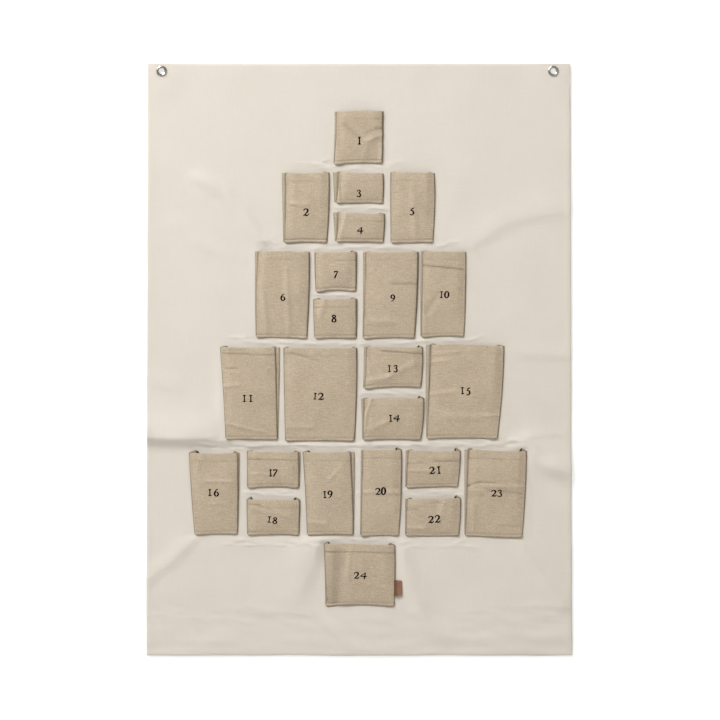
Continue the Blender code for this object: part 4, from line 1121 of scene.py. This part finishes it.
# Figures drawn as pen strokes in a unit box: points across and up, each with the stroke's width
figures = {
    "0": (((.5, .98, .12), (.16, .80, .18), (.06, .5, .22), (.15, .2, .19), (.5, .02, .12), (.85, .22, .18),
           (.94, .5, .22), (.84, .8, .18), (.5, .98, .12)),),
    "1": (((.5, .03, .17), (.5, .3, .15), (.5, .7, .15), (.5, .97, .17)),
          ((.02, .965, .08), (.25, .94, .12), (.5, .92, .17), (.75, .94, .12), (.98, .965, .08)),
          ((.02, .035, .08), (.25, .06, .12), (.5, .08, .17), (.75, .06, .12), (.98, .035, .08))),
    "2": (((.08, .77, .15), (.19, .90, .12), (.45, .97, .13), (.73, .88, .19), (.82, .71, .21),
           (.68, .50, .17), (.38, .27, .12), (.12, .09, .10)),
          ((.04, .05, .12), (.28, .10, .16), (.58, .05, .17), (.84, .10, .12), (1., .27, .07))),
    "3": (((.08, .80, .12), (.30, .95, .12), (.62, .98, .13), (.88, .83, .18), (.77, .66, .15), (.45, .55, .10)),
          ((.45, .55, .10), (.73, .51, .13), (.95, .35, .19), (.88, .13, .18), (.55, .01, .13),
           (.18, .05, .12), (.04, .17, .11))),
    "4": (((.76, .98, .09), (.39, .70, .09), (.03, .42, .10)),
          ((.03, .41, .12), (.5, .40, .14), (.81, .40, .15), (1., .46, .09)),
          ((.76, .98, .11), (.70, .58, .16), (.65, .18, .16), (.60, .02, .12))),
    "5": (((.31, .81, .09), (.62, .84, .15), (.97, .97, .08)),
          ((.31, .81, .10), (.21, .57, .11)),
          ((.21, .57, .09), (.52, .58, .13), (.83, .43, .18), (.83, .2, .18), (.52, .03, .12),
           (.19, .02, .12), (.05, .10, .12))),
    "6": (((.84, .94, .10), (.52, .85, .11), (.19, .58, .16), (.08, .32, .19), (.23, .10, .16), (.52, .01, .12),
           (.84, .13, .17), (.94, .34, .18), (.76, .51, .12), (.44, .53, .09), (.2, .44, .09)),),
    "7": (((.05, .77, .09), (.15, .90, .15), (.5, .93, .14), (.95, .95, .11)),
          ((.95, .93, .11), (.66, .60, .14), (.40, .30, .17), (.22, .02, .16))),
    "8": (((.5, .98, .12), (.22, .88, .16), (.2, .72, .16), (.5, .55, .14), (.86, .35, .18), (.88, .15, .18),
           (.5, .01, .12), (.12, .15, .18), (.15, .37, .17), (.5, .55, .12), (.79, .70, .16), (.79, .87, .16),
           (.5, .98, .12)),),
    "9": (((.16, .06, .10), (.48, .15, .11), (.81, .42, .16), (.92, .68, .19), (.77, .90, .16), (.48, .99, .12),
           (.16, .87, .17), (.06, .66, .18), (.24, .49, .12), (.56, .47, .09), (.8, .56, .09)),),
}
# Each number: its figures with their middle, width and height in millimetres, and their tilt in degrees
numberPlaces = {
    1: (("1", 0.4, -123.6, 5.3, 13.4, 0),),
    2: (("2", -94.2, -250.4, 9.4, 12.5, 0),),
    3: (("3", -0.9, -217.1, 6.6, 12.1, 0),),
    4: (("4", 1.6, -282.8, 10.9, 12.1, 0),),
    5: (("5", 93.7, -248.8, 6.8, 13.2, 0),),
    6: (("6", -135.4, -400.9, 7.3, 12.5, 0),),
    7: (("7", -41.3, -361.0, 7.1, 12.8, 0),),
    8: (("8", -44.7, -438.8, 7.6, 13.0, 0),),
    9: (("9", 59.6, -402.8, 7.1, 12.1, 0),),
    10: (("1", 145.8, -396.5, 5.2, 11.5, -4), ("0", 155.1, -396.5, 7.5, 12.1, -4),),
    11: (("1", -203.5, -580.6, 5.2, 12.0, 0), ("1", -192.1, -580.6, 5.2, 12.0, 0),),
    12: (("1", -78.1, -576.6, 5.4, 11.3, -5), ("2", -67.8, -577.0, 10.2, 11.9, 3),),
    13: (("1", 53.5, -527.6, 5.2, 11.6, 2), ("3", 64.3, -527.6, 6.1, 12.3, 0),),
    14: (("1", 55.9, -615.8, 5.4, 11.9, 4), ("4", 66.5, -615.8, 11.4, 12.0, -4),),
    15: (("1", 183.0, -566.9, 5.8, 11.8, 4), ("5", 193.4, -567.6, 6.4, 13.2, 3),),
    16: (("1", -264.7, -747.5, 5.2, 11.8, 1), ("6", -253.2, -747.2, 7.6, 13.2, 0),),
    17: (("1", -157.0, -712.5, 5.2, 12.1, 2), ("7", -149.0, -712.6, 8.0, 12.4, -3),),
    18: (("1", -159.4, -795.1, 6.3, 10.6, -6), ("8", -149.3, -797.1, 7.6, 11.1, -6),),
    19: (("1", -61.0, -751.1, 5.2, 12.1, 3), ("9", -51.6, -750.7, 7.3, 12.9, 2),),
    20: (("2", 33.4, -745.3, 9.0, 11.9, 4), ("0", 43.1, -744.8, 7.1, 13.4, -2),),
    21: (("2", 129.1, -708.1, 9.6, 12.3, 3), ("1", 141.3, -707.6, 5.6, 13.0, 5),),
    22: (("2", 127.3, -795.0, 9.5, 12.1, 2), ("2", 138.8, -794.0, 9.2, 12.8, 3),),
    23: (("2", 238.8, -748.6, 9.0, 11.3, 2), ("3", 248.7, -748.7, 7.3, 11.5, 0),),
    24: (("2", -4.6, -894.2, 9.0, 11.3, 2), ("4", 7.8, -895.0, 11.8, 11.6, -4),),
}
threadLook = {"rise": 0.00040, "sides": 8, "step": 0.0004, "sink": 0.00012, "weight": 1.46}


def curveThrough(points, step):  # a smooth curve through the points, as evenly spaced samples
    ends = [points[0] * 2 - points[1]] + points + [points[-1] * 2 - points[-2]]
    samples = []
    for p0, p1, p2, p3 in zip(ends, ends[1:], ends[2:], ends[3:]):
        count = max(2, math.ceil((p2.xy - p1.xy).length / step))
        for k in range(count):
            t = k / count
            samples.append(0.5 * ((2 * p1) + (p2 - p0) * t + (2 * p0 - 5 * p1 + 4 * p2 - p3) * t * t
                                  + (3 * p1 - p0 - 3 * p2 + p3) * t * t * t))
    return samples + [points[-1]]


def makeStroke(name, tree, samples):  # one closed satin-stitched stroke lying on the cloth
    sides = threadLook["sides"]
    first, last = samples[0], samples[-1]
    before = (first.xy - samples[1].xy).normalized() * first.z
    after = (last.xy - samples[-2].xy).normalized() * last.z
    caps = [(first.xy + before * out, first.z * wide) for out, wide in ((.34, .02), (.28, .45), (.15, .8))]
    tail = [(last.xy + after * out, last.z * wide) for out, wide in ((.15, .8), (.28, .45), (.34, .02))]
    path = caps + [(sample.xy, sample.z) for sample in samples] + tail
    points = np.zeros((len(path), sides + 1, 3))
    cloth = np.zeros((len(path), sides + 1, 2))
    run = 0.0
    for j, (here, width) in enumerate(path):
        ahead = path[min(j + 1, len(path) - 1)][0] - path[max(j - 1, 0)][0]
        side = Vector((-ahead.y, ahead.x)).normalized()
        if j:
            run += (here - path[j - 1][0]).length
        for k in range(sides + 1):
            turn = 2 * math.pi * (k % sides) / sides
            out = side * (math.cos(turn) * width / 2)
            x, z = here.x + out.x, here.y + out.y
            place, _ = touchFront(tree, x, z)
            rise = threadLook["rise"] * math.sin(turn) * min(1.0, width / 0.0012)
            points[j, k] = (x, place.y + threadLook["sink"] - rise, z)
            cloth[j, k] = (run, math.cos(turn) * width / 2)
    stroke, _, _ = addSheet(name, points, cloth)
    return stroke


def joinAs(name, pieces, weld):
    pick(*pieces)
    if len(pieces) > 1:
        bpy.ops.object.join()
    joined = chosen(name)
    editAll((bpy.ops.mesh.remove_doubles, {"threshold": weld}),
            (bpy.ops.mesh.normals_make_consistent, {"inside": False}))
    return joined


def makeNumber(number, tree):
    strokes = []
    for figure, x, z, width, height, tilt in numberPlaces[number]:
        turn = Matrix.Rotation(math.radians(tilt), 2)
        for stroke in figures[figure]:
            points = []
            for across, up, thick in stroke:
                place = turn @ Vector(((across - 0.5) * width, (up - 0.5) * height)) / 1000
                points.append(Vector((place.x + x / 1000, place.y + z / 1000,
                                      thick * height / 1000 * threadLook["weight"])))
            samples = curveThrough(points, threadLook["step"])
            strokes.append(makeStroke(f"stroke_{number:02d}_{len(strokes)}", tree, samples))
    embroidered = joinAs(f"number_{number:02d}", strokes, weldDistance)
    smooth(embroidered)
    dress(embroidered, "number")
    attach(embroidered, f"pocket_{number:02d}")
    return embroidered


seamLook = {"length": 0.0021, "gap": 0.0008, "width": 0.00042, "rise": 0.00022, "steps": 60, "ends": (0.0022, 0.0012)}


def stitchShape():  # one stitch, a small capsule along x whose ends dip into the cloth
    deselectAll()
    bpy.ops.mesh.primitive_uv_sphere_add(segments=8, ring_count=5, radius=0.5)
    stitch = chosen("stitch")
    stitch.rotation_euler = (0, math.pi / 2, 0)
    settle(stitch)
    points = pointsOf(stitch)
    faces = [tuple(face.vertices) for face in stitch.data.polygons]
    bpy.data.objects.remove(stitch)
    reach = points[:, 0].copy()
    points[:, 0] = reach * seamLook["length"] * 1.08
    points[:, 1] *= seamLook["width"]
    points[:, 2] = points[:, 2] * seamLook["width"] + seamLook["rise"] * (1 - (2 * reach) ** 2) - 0.00008
    return points, faces


stitchPoints, stitchFaces = stitchShape()


def sewAlong(name, paths, finish, body, scale=1.0):  # paths of (place, normal) samples
    points, faces = [], []
    pitch = (seamLook["length"] + seamLook["gap"]) * scale
    for path in paths:
        carried = 0.0
        for (start, n0), (end, n1) in zip(path, path[1:]):
            along = end - start
            length = along.length
            if length < 1e-7:
                continue
            while carried <= length:
                normal = n0.lerp(n1, carried / length).normalized()
                ahead = (along - normal * along.dot(normal)).normalized()
                turn = np.array([ahead, normal.cross(ahead), normal])
                base = len(points) * len(stitchPoints)
                points.append(stitchPoints * scale @ turn + np.array(start + along * (carried / length)))
                faces += [tuple(base + index for index in face) for face in stitchFaces]
                carried += pitch
            carried -= length
    mesh = bpy.data.meshes.new(name)
    mesh.from_pydata(np.concatenate(points).tolist(), [], faces)
    mesh.update()
    seam = bpy.data.objects.new(name, mesh)
    bpy.context.scene.collection.objects.link(seam)
    smooth(seam, math.pi)
    dress(seam, finish)
    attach(seam, body)
    return seam


def tracedPath(tree, places):  # samples of a line of (x, z) places on the cloth
    path = []
    for x, z in places:
        place, normal = touchFront(tree, x, z)
        if place is not None:
            path.append((place, normal))
    return path


def makeSeams(outline, tree):
    number, width = outline["number"], outline["width"]
    rim, steps = frontLook["groove"], seamLook["steps"]
    bottom, top = outline["bottom"], outline["top"]
    shares = [k / steps for k in range(steps + 1)]
    lowEnd, highEnd = seamLook["ends"]
    heights = [bottom + lowEnd + (top - bottom - lowEnd - highEnd) * share for share in shares]
    acrosses = [(rim + (width - 2 * rim) * share) / width for share in shares]
    lines = [[(across, z) for z in heights] for across in (rim / width, 1 - rim / width)]
    lines += [[(across, z) for across in acrosses]
              for z in (bottom + frontLook["footSeam"], top - frontLook["hemLine"])]
    paths = []
    for line in lines:
        places = [frontPoint(outline, across, z, seedOf(number)) for across, z in line]
        paths.append(tracedPath(tree, [(x, z) for x, _, z, _ in places]))
    return sewAlong(f"seams_{number:02d}", paths, "linenThread", f"pocket_{number:02d}")


for number in pocketNumbers:
    makeSeams(outlines[number], trees[number])
    makeNumber(number, trees[number])
print("seams and numbers made")


def makeCanvasSeams():
    size, inside, steps = canvasSize, canvasShape["seamInside"], canvasShape["seamSteps"]
    edges = size["halfTop"] - (canvasShape["sideHem"] - 0.0012)
    high = size["top"] - canvasShape["topHem"] + inside
    low = size["bottom"] + canvasShape["bottomHem"] - inside
    across = [-edges + 2 * edges * k / steps for k in range(steps + 1)]
    up = [low + (high - low) * k / steps for k in range(steps + 1)]
    paths = [tracedPath(canvasTree, [(x, z) for x in across]) for z in (high, low)]
    slant = size["spread"] / (size["top"] - size["bottom"])
    for side in (-1, 1):
        line = [(side * (edges + slant * (size["top"] - z)), z) for z in up]
        paths.append(tracedPath(canvasTree, line))
    return sewAlong("canvas_seams", paths, "canvasThread", "hanging", 1.15)


makeCanvasSeams()

eyeletShape = {
    "bore": 0.0050, "flange": 0.0097, "crown": 0.0017, "metal": 0.0006, "lip": 0.0074, "washer": 0.0090,
    "hemBack": -0.0018, "hemThickness": 0.0024, "slack": 0.0003, "sides": 64, "crownSteps": 12,
}


def turnRing(name, section, x, z):  # a closed section of (radius, y), spun about the eyelet's axis
    deselectAll()
    bpy.ops.mesh.primitive_circle_add(vertices=len(section), radius=1)
    ring = chosen(name)
    placePoints(ring, [(radius, y, 0.0) for radius, y in section])
    turn = {"steps": eyeletShape["sides"], "angle": 2 * math.pi, "center": (0, 0, 0), "axis": (0, 1, 0)}
    editAll((bpy.ops.mesh.spin, turn), (bpy.ops.mesh.remove_doubles, {"threshold": weldDistance}),
            (bpy.ops.mesh.normals_make_consistent, {"inside": False}))
    placePoints(ring, pointsOf(ring) + np.array((x, 0.0, z)))
    smooth(ring, math.radians(42))
    dress(ring, "nickel")
    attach(ring, "hanging")
    return ring


def makeEyelet(side, x, z):
    shape = eyeletShape
    front = shape["hemBack"] - shape["hemThickness"] - shape["slack"]
    bore, barrel, flange = shape["bore"], shape["bore"] + shape["metal"], shape["flange"]
    section = []
    for k in range(shape["crownSteps"] + 1):  # the rolled flange, from the bore over its crown to the rim
        turn = math.pi * k / shape["crownSteps"]
        radius = (bore + flange) / 2 - (flange - bore) / 2 * math.cos(turn)
        section.append((radius, front - 0.0003 - (shape["crown"] - 0.0003) * math.sin(turn) ** 0.8))
    section += [(flange - 0.0002, front), (barrel, front), (barrel, shape["hemBack"] + 0.0012)]
    section += [(barrel + 0.0003, shape["hemBack"] + 0.0012),
                (shape["lip"] - 0.0003, shape["hemBack"] + 0.0012), (shape["lip"], shape["hemBack"] + 0.0015),
                (shape["lip"] - 0.0003, 0.0), (bore + 0.0003, 0.0), (bore, -0.0003)]
    ring = turnRing(f"eyelet_ring_{side}", section, x, z)
    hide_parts(f"eyelet_{side}")
    inner, y = barrel + shape["slack"], shape["hemBack"] + shape["slack"]
    thick, outer = shape["metal"], shape["washer"]
    washer = turnRing(f"washer_ring_{side}", [
        (inner, y + 0.0001), (inner + 0.0001, y), (outer - 0.0002, y), (outer, y + 0.0002),
        (outer, y + thick - 0.0002), (outer - 0.0002, y + thick), (inner + 0.0001, y + thick),
        (inner, y + thick - 0.0001)], x, z)
    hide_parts(f"eyelet_washer_{side}")


for side, (x, z) in eyeletPlaces.items():
    makeEyelet(side, x, z)
print("eyelets set")

loopShape = {
    "moved": (-0.0028, 0.0030),  # from the solid's place to where the photograph shows it
    "depth": 0.0032, "leather": 0.0012, "gap": 0.0004, "corner": 0.0022, "steps": 10, "flatSteps": 9,
    "bite": 0.0008, "bow": 0.0003, "bevel": 0.0003,
}


def makeLoop():
    low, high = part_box("leather_tag")
    leather, gap = loopShape["leather"], loopShape["gap"]
    dx, dz = loopShape["moved"]
    low, high = [(place[0] + dx, place[1], place[2] + dz) for place in (low, high)]
    middle = canvasFace - loopShape["depth"]
    spread = (leather + gap) / 2
    end = high[0] - leather / 2 - spread
    start = low[0] - loopShape["bite"]
    steps, flatSteps = loopShape["steps"], loopShape["flatSteps"]
    flat = [start + (end - start) * k / flatSteps for k in range(flatSteps + 1)]
    path = [(x, -spread) for x in flat]
    path += [(end + spread * math.sin(math.pi * k / steps), -spread * math.cos(math.pi * k / steps))
             for k in range(1, steps)]
    path += [(x, spread) for x in reversed(flat)]
    marks = [low[2], low[2] + 0.0004, low[2] + 0.003, high[2] - 0.003, high[2] - 0.0004, high[2]]
    levels = spreadLines(marks, 0.0014)
    centre, half = (low[2] + high[2]) / 2, (high[2] - low[2]) / 2
    points = np.zeros((len(levels), len(path), 3))
    cloth = np.zeros((len(levels), len(path), 2))
    for j, z in enumerate(levels):
        for i, (x, y) in enumerate(path):
            reach = ramp(x, end - loopShape["corner"], high[0])
            shrink = 1 - reach * loopShape["corner"] / half * 0.55
            bow = loopShape["bow"] * math.sin(math.pi * (z - low[2]) / (high[2] - low[2]))
            points[j, i] = (x + bow * reach, middle + y + 0.0004 * ripple(x * 3, z, 2.0, (0.02, 1.0)),
                            centre + (z - centre) * shrink)
            cloth[j, i] = (i * 0.0013, z)
    loop, _, _ = addSheet("leather_loop", points, cloth)
    wall = loop.modifiers.new("wall", "SOLIDIFY")
    wall.thickness, wall.offset = leather, 0.0
    edge = loop.modifiers.new("edge", "BEVEL")
    edge.width, edge.segments = loopShape["bevel"], 2
    edge.limit_method, edge.angle_limit = "ANGLE", math.radians(60)
    applyAll(loop)
    smooth(loop)
    dress(loop, "leather")
    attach(loop, "pocket_24")
    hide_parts("leather_tag")


makeLoop()
print("loop sewn in")

print("done")
